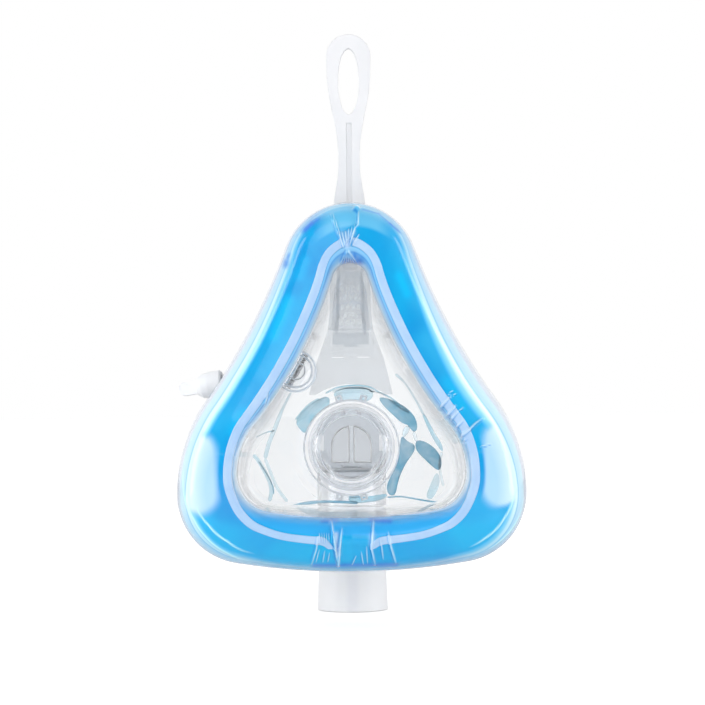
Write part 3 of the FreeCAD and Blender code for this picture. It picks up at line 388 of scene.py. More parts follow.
def line_field(x, z, points):
    """Distance to a line's nearest leg, its sign by the side, and the share of the line's length run."""
    points = np.array(points, float)
    legs = np.diff(points, axis=0)
    lengths = np.hypot(*legs.T)
    starts = np.concatenate([[0.0], np.cumsum(lengths)])
    away, hand, run = np.full(x.shape, 1e9), np.zeros(x.shape), np.zeros(x.shape)
    for (ax, az), (dx, dz), length, start in zip(points, legs, lengths, starts):
        along = np.clip(((x - ax) * dx + (z - az) * dz) / length ** 2, 0, 1)
        off_x, off_z = x - ax - along * dx, z - az - along * dz
        off = np.hypot(off_x, off_z)
        nearer = off < away
        away = np.where(nearer, off, away)
        hand = np.where(nearer, np.sign(dx * off_z - dz * off_x), hand)
        run = np.where(nearer, (start + along * length) / starts[-1], run)
    return away, hand, run


def folds(x, z):
    """Height of the film's folds, a bell across each line that fades at its ends, and a painted highlight on
    one flank and painted shade on the other."""
    height, tone = np.zeros_like(x), np.zeros_like(x)
    for half, rise, points in [(half, rise, points) for half, rise, *lines in FOLDS for points in lines]:
        away, hand, run = line_field(x, z, points)
        ends = np.sqrt(np.clip(4 * run * (1 - run), 0, 1))
        height += 1.5 * rise * np.exp(-(away / half) ** 2) * ends
        lit = np.exp(-((hand * away - 0.2 * half) / (0.8 * half)) ** 2)
        shaded = 0.8 * np.exp(-((hand * away + 1.2 * half) / (0.7 * half)) ** 2)
        tone += (lit - shaded) * ends
    return height, np.clip(tone, -1, 1)


def glints(place, side, outward):
    """Painted highlight lines in the film, each a bell across a line at a set distance from the rim."""
    total = np.zeros_like(outward)
    for hand, places, distances, strengths in GLINTS:
        strength = np.where(side == hand, np.interp(place, places, strengths, 0, 0), 0)[:, None]
        distance = np.interp(place, places, distances)[:, None]
        total += strength * np.exp(-((outward - distance) / GLINT_HALF) ** 2)
    return total


def spots(x, z, rows):
    """Soft patches: each row is a line from start to end with a radius and an amount, and overlapping
    amounts blend."""
    clear = np.ones_like(x)
    for ax, az, bx, bz, radius, amount in rows:
        length = max((bx - ax) ** 2 + (bz - az) ** 2, 1e-9)
        along = np.clip(((x - ax) * (bx - ax) + (z - az) * (bz - az)) / length, 0, 1)
        away = (x - ax - along * (bx - ax)) ** 2 + (z - az - along * (bz - az)) ** 2
        clear *= 1 - amount * np.exp(-away / radius ** 2)
    return 1 - clear


def new_piece(name, corners, faces, attributes=None):
    """A smooth mesh from corners in millimetres and faces, with float attributes at its corners."""
    mesh = bpy.data.meshes.new(name)
    mesh.from_pydata((corners.reshape(-1, 3) * MM).tolist(), [], faces)
    mesh.polygons.foreach_set("use_smooth", np.ones(len(mesh.polygons), bool))
    for key, values in (attributes or {}).items():
        layer = mesh.attributes.new(key, "FLOAT", "POINT")
        layer.data.foreach_set("value", np.ascontiguousarray(values, np.float32).ravel())
    mesh.update()
    piece = bpy.data.objects.new(name, mesh)
    bpy.context.scene.collection.objects.link(piece)
    return piece


def closed_quads(index):
    """Faces of a grid of corner numbers that closes on itself both ways."""
    ahead = np.roll(index, -1, 0)
    return np.stack([index, ahead, np.roll(ahead, -1, 1), np.roll(index, -1, 1)], -1).reshape(-1, 4)


def grid_mesh(name, points, attributes=None):
    """A closed grid of points, periodic both ways, as one piece with its float attributes."""
    index = np.arange(points[..., 0].size).reshape(points.shape[:2])
    return new_piece(name, points, closed_quads(index).tolist(), attributes)


def grid_normals(points):
    """Unit normals of a closed grid, from the cross product of its two central differences."""
    round_way = np.roll(points, -1, 0) - np.roll(points, 1, 0)
    turn_way = np.roll(points, -1, 1) - np.roll(points, 1, 1)
    normal = np.cross(round_way, turn_way)
    return normal / np.maximum(np.linalg.norm(normal, axis=-1, keepdims=True), 1e-12)


def cushion_grid(place, side, counts):
    """Cushion ring: at each station a closed spline through section poles, given as share across from rim to
    opening and share forward from back to crest. The poles on the front slide with the seam band."""
    outer = outline(RIM, place, side)
    inner = outline(OPENING, place, side)
    span = np.hypot(*(inner - outer).T)
    seam = seam_share(place, span)
    fixed = np.ones_like(seam)
    step = 1.4 / span
    across = np.stack([
        0.06 * fixed, 0.5 * fixed, 0.95 * fixed, 1.03 * fixed, 1.01 * fixed, (seam + 2 * fixed) / 3,
        seam + step, seam, seam - step, 0.78 * seam, 0.54 * seam, 0.28 * seam,
        0.09 * fixed, -0.01 * fixed, -0.03 * fixed], -1)
    weights = spline_weights(len(SECTION_FORWARD), counts)
    across = across @ weights.T
    forward = (weights @ np.array(SECTION_FORWARD))[None, :]
    crest = crest_drop(inner)[:, None]
    flat = outer[:, None, :] + (inner - outer)[:, None, :] * across[..., None]
    depth = CUSHION_BACK + (crest - CUSHION_BACK) * forward
    points = np.stack([flat[..., 0], depth, flat[..., 1]], -1)
    return points, across, span, seam


def film_shares(place, side, x, depth, z, outward, inward):
    """How much each kind of film shows over the gel, from 0 to 1: film near the rim with a painted highlight
    streak, pale patches on the flanks, the strip inside the seam, the crown's cap, the base, and lighter,
    bright and dark patches."""
    seam_depth = smooth(place, SEAM_PLACES, SEAM_DEPTHS)[:, None]
    royal = spots(x, z, ROYAL_PATCHES)
    lean = 1 + FILM_LEAN * side * np.clip(place - 0.8, 0, 1) * np.clip(2.8 - place, 0, 1)
    reach = smooth(place, FILM_PLACES, FILM_REACH) * lean
    run = np.clip((outward + 0.3) / reach[:, None], 0, 1)
    film = smooth(place, FILM_PLACES, FILM_STRENGTH)[:, None] * (1 - soft_step(run, 0.92, 0.16))
    film = film * (1 - soft_step(depth, 17, 6)) * (1 - royal)
    clear_of_seam = soft_step(inward, seam_depth + 3.3, 1.4)
    left = clear_of_seam * soft_step(spots(x, z, LEFT_PALE_PATCHES), 0.4, 0.6)
    right = clear_of_seam * soft_step(spots(x, z, RIGHT_PALE_PATCHES), 0.4, 0.6)
    right = right * soft_step(z - 0.25 * (x - 50), -19.0, 2.5)
    pale = np.maximum(left, right)
    film = film * (1 - pale * soft_step(run, 0.62, 0.3))
    strip = soft_step(seam_depth - SEAM_HALF - inward, 0.2, 0.6)
    return dict(
        film=film, film_run=run, pale=pale, royal=royal, strip=strip,
        strip_run=np.clip(inward / (seam_depth - SEAM_HALF), 0, 1),
        cap=soft_step(z, 77.4 - 0.03 * (x - 2) ** 2, 1.6) * soft_step(-np.abs(x - 1.5), -11.0, 7.0),
        base=soft_step(-z, 24, 6) * (1 - strip),
        light=spots(x, z, LIGHT_PATCHES), bright=spots(x, z, BRIGHT_PATCHES), knot=spots(x, z, KNOTS))


def gel_cushion():
    """Film-covered gel: the cushion grid, raised along its normals on its front by folds and glints."""
    place, side = stations()
    points, across, span, _ = cushion_grid(place, side, SECTION_SAMPLES)
    normal = grid_normals(points)
    if np.sum((points - points.mean(1, keepdims=True)) * normal) < 0:
        normal = -normal
    facing = np.clip(-normal[..., 1] * 1.6 + 0.2, 0, 1)
    x, depth, z = points[..., 0], points[..., 1], points[..., 2]
    outward, inward = across * span[:, None], (1 - across) * span[:, None]
    glint = facing * glints(place, side, outward)
    height, tone = folds(x, z)
    raised = points + normal * ((height + GLINT_RIDGE * glint) * facing)[..., None]
    shares = film_shares(place, side, x, depth, z, outward, inward)
    # The folds' tone goes on as painted highlight and painted shade on their flanks, the glints as painted
    # highlight lines
    return grid_mesh("gel_body", raised, dict(
        shares, outward=outward, glint=np.clip(glint, 0, 1), fold_light_shade=tone * facing, height=z))


def seam_band():
    """Welded seam on the crest: a flat strip with rounded edges that follows the cushion's front and folds.
    At the crown and the base it is pinched into the film, and at the base it sags towards the rim."""
    place, side = stations()
    first, last = SEAM_POLES
    counts = (1,) * first + (SEAM_SAMPLES,) * (last - first) + (1,) * (len(SECTION_FORWARD) - last)
    points, across, span, seam = cushion_grid(place, side, counts)
    normals = grid_normals(points)
    front = slice(first, first + (last - first) * SEAM_SAMPLES)
    if normals[:, front, 1].mean() > 0:
        normals = -normals
    share, front_points, front_normals = (grid[:, front][:, ::-1] for grid in (across, points, normals))

    half = SEAM_HALF * smooth(place, (0, 3.6, 4.2, 5), (1.0, 1.0, 0.86, 0.95))
    middle = side * outline(RIM, place, 1)[:, 0]
    at_crown = place < 2
    crown_pinch = np.exp(-((middle + 1.4) / 3.2) ** 6)
    base_pinch = 0.75 * np.exp(-((middle - 1.4) / 6.0) ** 6)
    pinch = np.where(at_crown, crown_pinch, base_pinch)[:, None]
    sag = sum(amount * np.exp(-((middle - at) / np.where(middle < at, left, right)) ** 2)
              for at, amount, left, right in SEAM_SAGS)
    sag = np.where(at_crown, 0, sag)

    across_line = np.linspace(-1, 1, 13)
    target = (seam - sag / span)[:, None] + across_line[None, :] * (half / span)[:, None]
    rows = np.arange(len(place))[:, None]
    low = np.clip((share[:, None, :] < target[:, :, None]).sum(-1) - 1, 0, share.shape[1] - 2)
    lower, upper = share[rows, low], share[rows, low + 1]
    mix = np.clip((target - lower) / np.maximum(upper - lower, 1e-9), 0, 1)[..., None]
    surface, normal = (grid[rows, low] * (1 - mix) + grid[rows, low + 1] * mix
                       for grid in (front_points, front_normals))
    normal /= np.linalg.norm(normal, axis=-1, keepdims=True)
    edge = 0.28 * np.clip(1 - np.abs(across_line), 0, 0.18) / 0.18 + 0.02
    lift = edge[None, :] - 0.9 * pinch
    fold, tone = folds(surface[..., 0], surface[..., 2])
    top = surface + normal * (lift + fold)[..., None]
    bottom = surface + normal * (lift.min(1, keepdims=True) + fold - 0.35)[..., None]
    ring = np.concatenate([top, bottom[:, ::-1]], 1)
    # The folds' tone goes on as painted highlight and painted shade on their flanks
    return grid_mesh("seam_band", ring, dict(fold_light_shade=np.concatenate([tone, tone[:, ::-1]], 1)))


def ridge_path(points):
    """A ridge's line, evenly stepped: a cubic through its rows of x, z and half width, by their spacing."""
    knots = np.concatenate([[0.0], np.cumsum(np.hypot(*np.diff(points[:, :2], axis=0).T))])
    slope = np.gradient(points, knots, axis=0)
    at = np.linspace(0, knots[-1], max(int(knots[-1] / RIDGE_STEP), 6))
    number = np.clip(np.searchsorted(knots, at, "right") - 1, 0, len(knots) - 2)
    width = (knots[number + 1] - knots[number])[:, None]
    t = (at - knots[number])[:, None] / width
    return cubic(t, width, points[number], points[number + 1], slope[number], slope[number + 1]), at


def ridge_rings(points, half_widths, height):
    """A ridge's closed surface: a half-round section with a flat foot, carried along its line and narrowed at
    both ends."""
    angle = np.linspace(0, np.pi, 11)
    share = np.concatenate([-np.cos(angle), np.cos(angle[1:-1])])
    lift = np.concatenate([np.sin(angle), np.zeros(9)])
    lift[0] = lift[10] = 0.04
    path, at = ridge_path(np.column_stack([points, np.broadcast_to(half_widths, len(points))]))
    way = np.gradient(path[:, :2], axis=0)
    way /= np.linalg.norm(way, axis=1, keepdims=True)
    reach = np.minimum(at, at[-1] - at) / max(path[:, 2].max() * 0.8, 0.3)
    round_end = np.sqrt(np.clip(1 - (1 - np.clip(reach, 0.02, 1)) ** 2, 0, 1))
    half = np.clip(path[:, 2], 0.12, None) * round_end
    x = path[:, :1] - way[:, 1:] * half[:, None] * share[None, :]
    z = path[:, 1:2] + way[:, :1] * half[:, None] * share[None, :]
    return x, z, RIDGE_BACK_Y - height * lift[None, :] * round_end[:, None]


def pad_rings(points, height):
    """A pad's closed surface: rings from its middle to its rounded outline, domed above and flat below."""
    edge = spline_weights(len(points), (8,) * len(points)) @ np.array(points, float)
    middle = edge.mean(0)
    share = np.array([0.04, 0.25, 0.45, 0.6, 0.72, 0.82, 0.9, 0.96, 1.0, 1.0, 0.04])
    lift = np.clip(1 - share ** 2, 0.03, 1) ** 1.3
    lift[-2:] = 0
    flat = middle + (edge - middle)[None] * share[:, None, None]
    return flat[..., 0], flat[..., 1], RIDGE_BACK_Y - height * np.repeat(lift[:, None], len(edge), 1)


def shell_relief():
    """Low moulded ridges and pads on the shell's inner face, pushed clear of its port and wall."""
    shapes = [(tone, *pad_rings(points, height)) for tone, height, points in PADS]
    shapes += [(tone, *ridge_rings(points, half, height)) for tone, height, half, points in RELIEF]
    corners, quads, caps, tones = [], [], [], []
    start = 0
    for tone, x, z, y in shapes:
        push = np.maximum(PORT_CLEAR_R / np.maximum(np.hypot(x, z), 1.0), 1.0)
        x, z = x * push, np.maximum(z * push, RIDGE_LOW_Z)
        corners.append(np.stack([x, y, z], -1).reshape(-1, 3))
        index = start + np.arange(x.size).reshape(x.shape)
        after = np.roll(index, -1, 1)
        quads += np.stack([index[:-1], after[:-1], after[1:], index[1:]], -1).reshape(-1, 4).tolist()
        caps += [index[0, ::-1].tolist(), index[-1].tolist()]
        tones.append(np.full(x.size, tone))
        start += x.size
    return new_piece("shell_relief", np.concatenate(corners), quads + caps, dict(tone=np.concatenate(tones)))


def shader(name, **values):
    """A Principled material with its plain values set, and its node tree."""
    material = bpy.data.materials.new(name)
    material.use_nodes = True
    bsdf = material.node_tree.nodes["Principled BSDF"]
    for key, value in values.items():
        bsdf.inputs[key.replace("_", " ")].default_value = value
    return material, material.node_tree


def drive(tree, name, value):
    """Links a value to one of the material's own inputs."""
    tree.links.new(value, tree.nodes["Principled BSDF"].inputs[name])


def node(tree, kind, **values):
    """A new node. Each value is set on the node itself, or set on or linked to the input of that name."""
    made = tree.nodes.new(kind)
    for key, value in values.items():
        if hasattr(made, key):
            setattr(made, key, value)
        elif isinstance(value, bpy.types.NodeSocket):
            tree.links.new(value, made.inputs[key.replace("_", " ")])
        else:
            made.inputs[key.replace("_", " ")].default_value = value
    return made


def noise(tree, scale, detail=3.0, distortion=0.0):
    """Noise on object coordinates, in features per metre."""
    where = node(tree, "ShaderNodeTexCoord").outputs["Object"]
    made = node(tree, "ShaderNodeTexNoise", Vector=where, Scale=scale, Detail=detail, Distortion=distortion)
    return made.outputs["Fac"]


def ramp(tree, source, low, high, start=0.0, end=1.0):
    """A value that runs from start to end while its source runs from low to high."""
    made = node(tree, "ShaderNodeMapRange", Value=source, From_Min=low, From_Max=high,
                To_Min=start, To_Max=end)
    return made.outputs["Result"]


def mixed(tree, share, first, second):
    """Colour mix of two colours, either of which may be a socket."""
    made = tree.nodes.new("ShaderNodeMix")
    made.data_type = "RGBA"
    for slot_name, value in (("A_Color", first), ("B_Color", second)):
        socket = next(s for s in made.inputs if s.identifier == slot_name)
        if isinstance(value, tuple):
            socket.default_value = (*value, 1.0)
        else:
            tree.links.new(value, socket)
    factor = next(s for s in made.inputs if s.identifier == "Factor_Float")
    tree.links.new(share, factor)
    return next(s for s in made.outputs if s.identifier == "Result_Color")


def mottled(tree, scale, detail, first, second):
    """Two close colours, mixed by noise."""
    return mixed(tree, ramp(tree, noise(tree, scale, detail), 0.35, 0.65), first, second)


def rough(tree, scale, detail, low, high):
    """Roughness between two values, driven by noise."""
    drive(tree, "Roughness", ramp(tree, noise(tree, scale, detail), 0.3, 0.7, low, high))


def bumped(tree, scale, detail, strength, distance):
    """A faint unevenness of the surface, driven by noise."""
    height = noise(tree, scale, detail)
    made = node(tree, "ShaderNodeBump", Height=height, Strength=strength, Distance=distance)
    drive(tree, "Normal", made.outputs["Normal"])


def attribute(tree, name):
    """Value of one of the piece's own attributes."""
    return node(tree, "ShaderNodeAttribute", attribute_name=name).outputs["Fac"]


def bead(name, loops):
    """Thin rounded edges: each loop is a closed line at a constant depth, swept by a small circle."""
    corners, quads = [], []
    angle = np.linspace(0, 2 * np.pi, 10, endpoint=False)
    start = 0
    for x, z, depth, radius in loops:
        way = np.stack([np.roll(x, -1) - np.roll(x, 1), np.roll(z, -1) - np.roll(z, 1)], -1)
        way /= np.linalg.norm(way, axis=1, keepdims=True)
        across = radius * np.cos(angle)[None, :]
        out = np.broadcast_to(depth + radius * np.sin(angle), (len(x), len(angle)))
        ring = np.stack([x[:, None] - way[:, 1:] * across, out, z[:, None] + way[:, :1] * across], -1)
        corners.append(ring.reshape(-1, 3))
        index = start + np.arange(out.size).reshape(out.shape)
        quads += closed_quads(index)[:, [0, 3, 2, 1]].tolist()
        start += out.size
    return new_piece(name, np.concatenate(corners), quads)


def circle(place, radius, depth, bead_r):
    """A round loop about a place."""
    angle = np.linspace(0, 2 * np.pi, 96, endpoint=False)
    return place[0] + radius * np.cos(angle), place[1] + radius * np.sin(angle), depth, bead_r


def lug_loop(angle):
    """Edge of one of the port ring's lugs: a square set off along its radius and turned to its place."""
    step = np.linspace(-1, 1, 9)[:-1]
    one = np.ones_like(step)
    aside = LUG["half"] * np.concatenate([step, one, -step, -one])
    out = LUG["r"] + LUG["half"] * np.concatenate([-one, step, one, -step])
    turn = math.radians(angle)
    x = out * math.cos(turn) - aside * math.sin(turn)
    z = out * math.sin(turn) + aside * math.cos(turn)
    return x, z, LUG["depth"], LUG["bead_r"]


def window_loop(hand):
    """Edge of one valve window: up the bar, over the arc, down the side and back along the sill."""
    radius, bar, middle, sill = (WINDOW[key] for key in ("r", "bar_half", "centre_z", "sill_z"))
    rise = np.linspace(sill, middle + math.sqrt(radius ** 2 - bar ** 2), 24)
    turn = np.linspace(math.acos(bar / radius), 0, 30)[1:]
    fall = np.linspace(middle, sill, 14)[1:]
    back = np.linspace(radius, bar, 14)[1:-1]
    x = np.concatenate([np.full(len(rise), bar), radius * np.cos(turn), np.full(len(fall), radius), back])
    z = np.concatenate([rise, middle + radius * np.sin(turn), fall, np.full(len(back), sill)])
    return hand * x, z, WINDOW["depth"], WINDOW["bead_r"]


def palette(tree, source, stops):
    """Colour ramp through (position, colour) stops, driven by a value."""
    made = tree.nodes.new("ShaderNodeValToRGB")
    elements = made.color_ramp.elements
    elements.remove(elements[1])
    elements[0].position, elements[0].color = stops[0][0], (*stops[0][1], 1.0)
    for position, colour in stops[1:]:
        elements.new(position).color = (*colour, 1.0)
    tree.links.new(source, made.inputs["Fac"])
    return made.outputs["Color"]


def maths(tree, operation, first, second=None):
    """A Math node on one or two values, either of which may be a socket."""
    made = node(tree, "ShaderNodeMath", operation=operation)
    for socket, value in zip(made.inputs, (first, second)):
        if isinstance(value, float):
            socket.default_value = value
        elif value is not None:
            tree.links.new(value, socket)
    return made.outputs[0]


def split_place(tree):
    """The three object coordinates of a point, in metres."""
    where = node(tree, "ShaderNodeTexCoord").outputs["Object"]
    return tuple(node(tree, "ShaderNodeSeparateXYZ", Vector=where).outputs)


def along(tree, axis, low, high, start, end):
    """A value that runs from start to end along one axis of the piece, between two places in metres."""
    return ramp(tree, split_place(tree)["XYZ".index(axis)], low, high, start, end)


def creased(tree, colour, lit, light, dark):
    """A colour with painted light over the folds' flanks: some of a light tint as painted highlight on one,
    and a dark tint as painted shade on the other.
    """
    fold_light_shade = attribute(tree, "fold_light_shade")
    colour = mixed(tree, ramp(tree, fold_light_shade, 0.2, 0.95, 0.0, lit), colour, light)
    return mixed(tree, ramp(tree, fold_light_shade, -0.12, -0.7, 0.0, 0.7), colour, dark)


def film_over_gel():
    """Clear glossy film over blue gel: azure, milky where the gel is thin, with bands of film at the rim that
    include a painted highlight streak, and painted light on the folds' flanks and glints.
    """
    material, tree = shader("film_over_gel", Roughness=0.22, IOR=1.42, Transmission_Weight=0.02,
                                  Coat_Weight=0.7, Coat_Roughness=0.04, Coat_IOR=1.45)
    mottle = ramp(tree, noise(tree, 45.0, 2.0, 0.6), 0.36, 0.66)
    base = mixed(tree, mottle, (0.0, 0.37, 0.76), (0.0, 0.46, 0.81))
    from_rim = ramp(tree, attribute(tree, "outward"), 5.0, 11.0)
    # From the rim's edge inward: the white-cyan band from 0.53 to 0.62 is a painted highlight streak
    film_and_streak = palette(tree, attribute(tree, "film_run"), [
        (0.0, (0.610, 0.679, 0.791)), (0.15, (0.63, 0.73, 0.85)), (0.20, (0.578, 0.831, 0.956)),
        (0.42, (0.51, 0.78, 0.94)), (0.47, (0.305, 0.610, 0.831)), (0.53, (0.752, 1.0, 1.0)),
        (0.62, (0.68, 0.94, 1.0)), (0.72, (0.305, 0.716, 0.913)), (0.85, (0.127, 0.578, 0.913)),
        (1.0, (0.0, 0.36, 0.87))])
    strip = palette(tree, attribute(tree, "strip_run"), [
        (0.0, (0.60, 0.84, 1.0)), (0.22, (0.34, 0.68, 0.95)), (0.5, (0.20, 0.52, 0.88)),
        (0.62, (0.10, 0.38, 0.78)), (0.72, (0.24, 0.58, 0.90)), (1.0, (0.30, 0.64, 0.94))])
    strip = mixed(tree, ramp(tree, attribute(tree, "height"), -12.0, -21.0), strip, (0.03, 0.42, 0.86))
    tints = dict(
        light=(0.03, 0.44, 0.80), bright=(0.0, 0.50, 0.90), cap=(0.12, 0.50, 0.80), base=base,
        pale=mixed(tree, from_rim, (0.66, 0.85, 0.97), (0.42, 0.68, 0.95)), film=film_and_streak, strip=strip,
        knot=(0.62, 0.74, 0.95), royal=(0.0, 0.19, 0.74))
    colour = mixed(tree, mottle, (0.0, 0.30, 0.70), (0.0, 0.39, 0.77))
    for name, tint in tints.items():
        colour = mixed(tree, attribute(tree, name), colour, tint)
    # Painted highlight and painted shade on the folds' flanks
    colour = creased(tree, colour, 0.8, (0.68, 0.88, 1.0), (0.0, 0.20, 0.62))
    # Painted highlight along the glints
    colour = mixed(tree, ramp(tree, attribute(tree, "glint"), 0.1, 0.9, 0.0, 0.9), colour, (0.58, 0.956, 1.0))
    drive(tree, "Base Color", colour)
    bumped(tree, 260.0, 2.0, 0.12, 0.0006)
    return material


def welded_film():
    """Welded seam: film pressed together, a milky lavender with a satin shine."""
    material, tree = shader("welded_film", Roughness=0.35, IOR=1.45, Transmission_Weight=0.15,
                                  Coat_Weight=0.6, Coat_Roughness=0.12)
    colour = mottled(tree, 120.0, 3.0, (0.42, 0.64, 0.92), (0.50, 0.70, 0.95))
    # Painted highlight and painted shade on the folds' flanks
    colour = creased(tree, colour, 0.6, (0.72, 0.88, 1.0), (0.08, 0.38, 0.80))
    drive(tree, "Base Color", colour)
    bumped(tree, 700.0, 2.0, 0.10, 0.0003)
    return material


def clear_plastic(name, thin, thick, haze, clear, alpha=1.0):
    """Polished clear moulding: two close tints, faint haze and a slight unevenness of the moulded face."""
    material, tree = shader(name, IOR=1.42, Transmission_Weight=clear, Alpha=alpha)
    drive(tree, "Base Color", mottled(tree, 45.0, 2.0, thin, thick))
    rough(tree, 180.0, 3.0, haze * 0.5, haze * 1.5)
    bumped(tree, 90.0, 1.0, 0.05, 0.0008)
    return material, tree


def valve_plastic():
    """The valve frame's plastic: clear in its window plate, and grey in the hood behind the windows as
    painted shade of the elbow's inside.
    """
    material, tree = clear_plastic("valve_plastic", (0.97, 0.98, 0.99), (0.94, 0.955, 0.975), 0.05, 1.0)
    hood = along(tree, "Y", *HOOD_BEGINS, 0.0, 1.0)
    clear = tree.nodes["Principled BSDF"].inputs["Base Color"].links[0].from_socket
    # The hood's grey is painted shade
    drive(tree, "Base Color", mixed(tree, hood, clear, (0.76, 0.79, 0.825)))
    drive(tree, "Transmission Weight", ramp(tree, hood, 0.0, 1.0, 1.0, 0.85))
    return material


def clear_dome():
    """The shell's plastic: clear on its flat front, milkier where its walls are seen edge on."""
    material, tree = clear_plastic("clear_shell", (0.99, 0.995, 1.0), (0.97, 0.985, 0.99), 0.03, 1.0)
    drive(tree, "Transmission Weight", along(tree, "Y", *DOME_CLEARS, 0.84, 0.95))
    return material


def moulded_relief():
    """Ridges of the shell, in painted light: near clear and white where thin, as painted highlight, and grey
    teal to deep teal as painted shade where light is turned aside.
    """
    material, tree = shader("moulded_relief", IOR=1.12)
    tone = attribute(tree, "tone")
    drive(tree, "Transmission Weight", ramp(tree, tone, -0.2, 1.0, 0.95, 0.6))
    colour = palette(tree, ramp(tree, tone, -0.2, 1.0), [
        (0.0, (0.95, 0.97, 0.99)), (0.167, (0.93, 0.97, 0.99)), (0.333, (0.74, 0.89, 0.95)),
        (0.542, (0.50, 0.77, 0.88)), (0.708, (0.33, 0.63, 0.78)), (0.917, (0.20, 0.48, 0.64))])
    uneven = ramp(tree, noise(tree, 160.0, 3.0, 0.8), 0.35, 0.68, 0.0, 0.5)
    drive(tree, "Base Color", mixed(tree, uneven, colour, (0.90, 0.96, 0.98)))
    rough(tree, 220.0, 2.0, 0.07, 0.18)
    return material


def frosted_plastic(name, clear):
    """Satin moulding that light passes through, with edges that catch the light softly, and no colour yet."""
    material, tree = shader(name, IOR=1.46, Transmission_Weight=clear)
    rough(tree, 300.0, 3.0, 0.30, 0.40)
    drive(tree, "Normal", node(tree, "ShaderNodeBevel", Radius=0.0004).outputs["Normal"])
    return material, tree


def thumb_plate(tree):
    """Where the arm is its thumb plate, and where the plate's bumps are: two values from 0 to 1. The bumps
    stand in rows across its middle, and every second row is set off by half a pitch."""
    def do(operation, first, second=None):
        return maths(tree, operation, first, second)

    across, outward, up = split_place(tree)
    outward, up = (do("SUBTRACT", at, foot) for at, foot in zip((outward, up), THUMB["foot"]))
    sine, cosine = math.sin(math.radians(THUMB["tilt"])), math.cos(math.radians(THUMB["tilt"]))
    above = do("ADD", do("MULTIPLY", outward, cosine), do("MULTIPLY", up, sine))
    run = do("SUBTRACT", do("MULTIPLY", up, cosine), do("MULTIPLY", outward, sine))

    row = do("DIVIDE", do("SUBTRACT", run, THUMB["first_row"]), THUMB["row_pitch"])
    whole_row = do("ROUND", row)
    off_row = do("MULTIPLY", do("SUBTRACT", row, whole_row), 0.5 * THUMB["row_pitch"])
    shift = do("MULTIPLY", do("PINGPONG", do("ADD", whole_row, 1.0), 1.0), 0.5)
    place = do("ADD", do("DIVIDE", across, THUMB["pitch"]), shift)
    off_place = do("MULTIPLY", do("SUBTRACT", place, do("ROUND", place)), THUMB["pitch"])
    away = do("SQRT", do("ADD", do("MULTIPLY", off_row, off_row), do("MULTIPLY", off_place, off_place)))

    from_row = do("ABSOLUTE", do("SUBTRACT", whole_row, THUMB["middle_row"]))
    from_middle = do("MULTIPLY", do("ABSOLUTE", across), THUMB["half_rows"] / THUMB["half_width"])
    low, high = THUMB["half_rows"] - 0.1, THUMB["half_rows"] + 0.1
    within = ramp(tree, do("MAXIMUM", from_row, from_middle), low, high, 1.0, 0.0)
    return ramp(tree, above, *THUMB["face"]), do("MULTIPLY", ramp(tree, away, *THUMB["bump"]), within)


def arm_plastic():
    """The arm's plastic: white above the rim, clearer in its bracket, and dull on its thumb plate, with a
    painted highlight on each bump.
    """
    material, tree = frosted_plastic("arm_plastic", 0.2)
    plate, bump = thumb_plate(tree)
    high = along(tree, "Z", *ARM_WHITENS, 0.0, 1.0)
    see = maths(tree, "SUBTRACT", ramp(tree, plate, 0.0, 1.0, 0.1, 0.32), maths(tree, "MULTIPLY", bump, 0.24))
    drive(tree, "Alpha", maths(tree, "MAXIMUM", maths(tree, "MAXIMUM", see, high), 0.06))
    grain = ramp(tree, noise(tree, 60.0, 3.0), 0.35, 0.65)
    white = mixed(tree, grain, (0.88, 0.88, 0.895), (0.85, 0.855, 0.875))
    # White on each bump of the thumb plate is a painted highlight
    dull = mixed(tree, bump, mixed(tree, grain, (0.92, 0.93, 0.95), (0.89, 0.905, 0.93)), (1.0, 1.0, 1.0))
    drive(tree, "Base Color", mixed(tree, high, mixed(tree, plate, white, dull), white))
    return material


def cuff_plastic():
    """The cuff's plastic: frosted white, with a greyer stripe where its mould line runs down the middle."""
    material, tree = frosted_plastic("cuff_plastic", 0.04)
    aside = maths(tree, "ABSOLUTE", along(tree, "X", -0.01, 0.01, -10.0, 10.0))
    colour = mixed(tree, ramp(tree, aside, 1.2, 3.0), (0.91, 0.91, 0.94), (0.99, 0.99, 1.0))
    drive(tree, "Base Color", colour)
    return material


def soft_silicone(name, tint, shade):
    """Soft silicone: two close tints, dull, with a faint sheen and a fine grain."""
    material, tree = shader(name, IOR=1.41, Transmission_Weight=0.12, Sheen_Weight=0.15,
                                  Sheen_Roughness=0.4)
    drive(tree, "Base Color", mottled(tree, 90.0, 3.0, tint, shade))
    rough(tree, 350.0, 3.0, 0.38, 0.52)
    bumped(tree, 1500.0, 2.0, 0.10, 0.0001)
    return material


def dress(node_name, material):
    """Gives one of the frame's pieces its material."""
    piece = frame["nodes"][node_name]
    piece.data.materials.clear()
    piece.data.materials.append(material)


def light(name, place, aim, size, radiance):
    """Area lamp of a given brightness: its power is pi times its area times its radiance."""
    data = bpy.data.lights.new(name, "AREA")
    data.shape = "RECTANGLE"
    data.size, data.size_y = size
    data.energy = math.pi * size[0] * size[1] * radiance
    lamp = bpy.data.objects.new(name, data)
    lamp.location = place
    lamp.rotation_euler = (Vector(aim) - Vector(place)).to_track_quat("-Z", "Y").to_euler()
    lamp.visible_camera = False
    bpy.context.scene.collection.objects.link(lamp)
    return lamp


def camera():
    """The photo's camera, looking along +Y with a slight roll."""
    data = bpy.data.cameras.new("photo_camera")
    data.sensor_width = CAMERA["sensor"]
    data.lens = CAMERA["sensor"] * CAMERA["distance"] / CAMERA["frame_width"]
    piece = bpy.data.objects.new("photo_camera", data)
    piece.location = CAMERA["place"]
    piece.rotation_euler = (math.radians(90.0), math.radians(CAMERA["roll"]), 0.0)
    bpy.context.scene.collection.objects.link(piece)
    bpy.context.scene.camera = piece


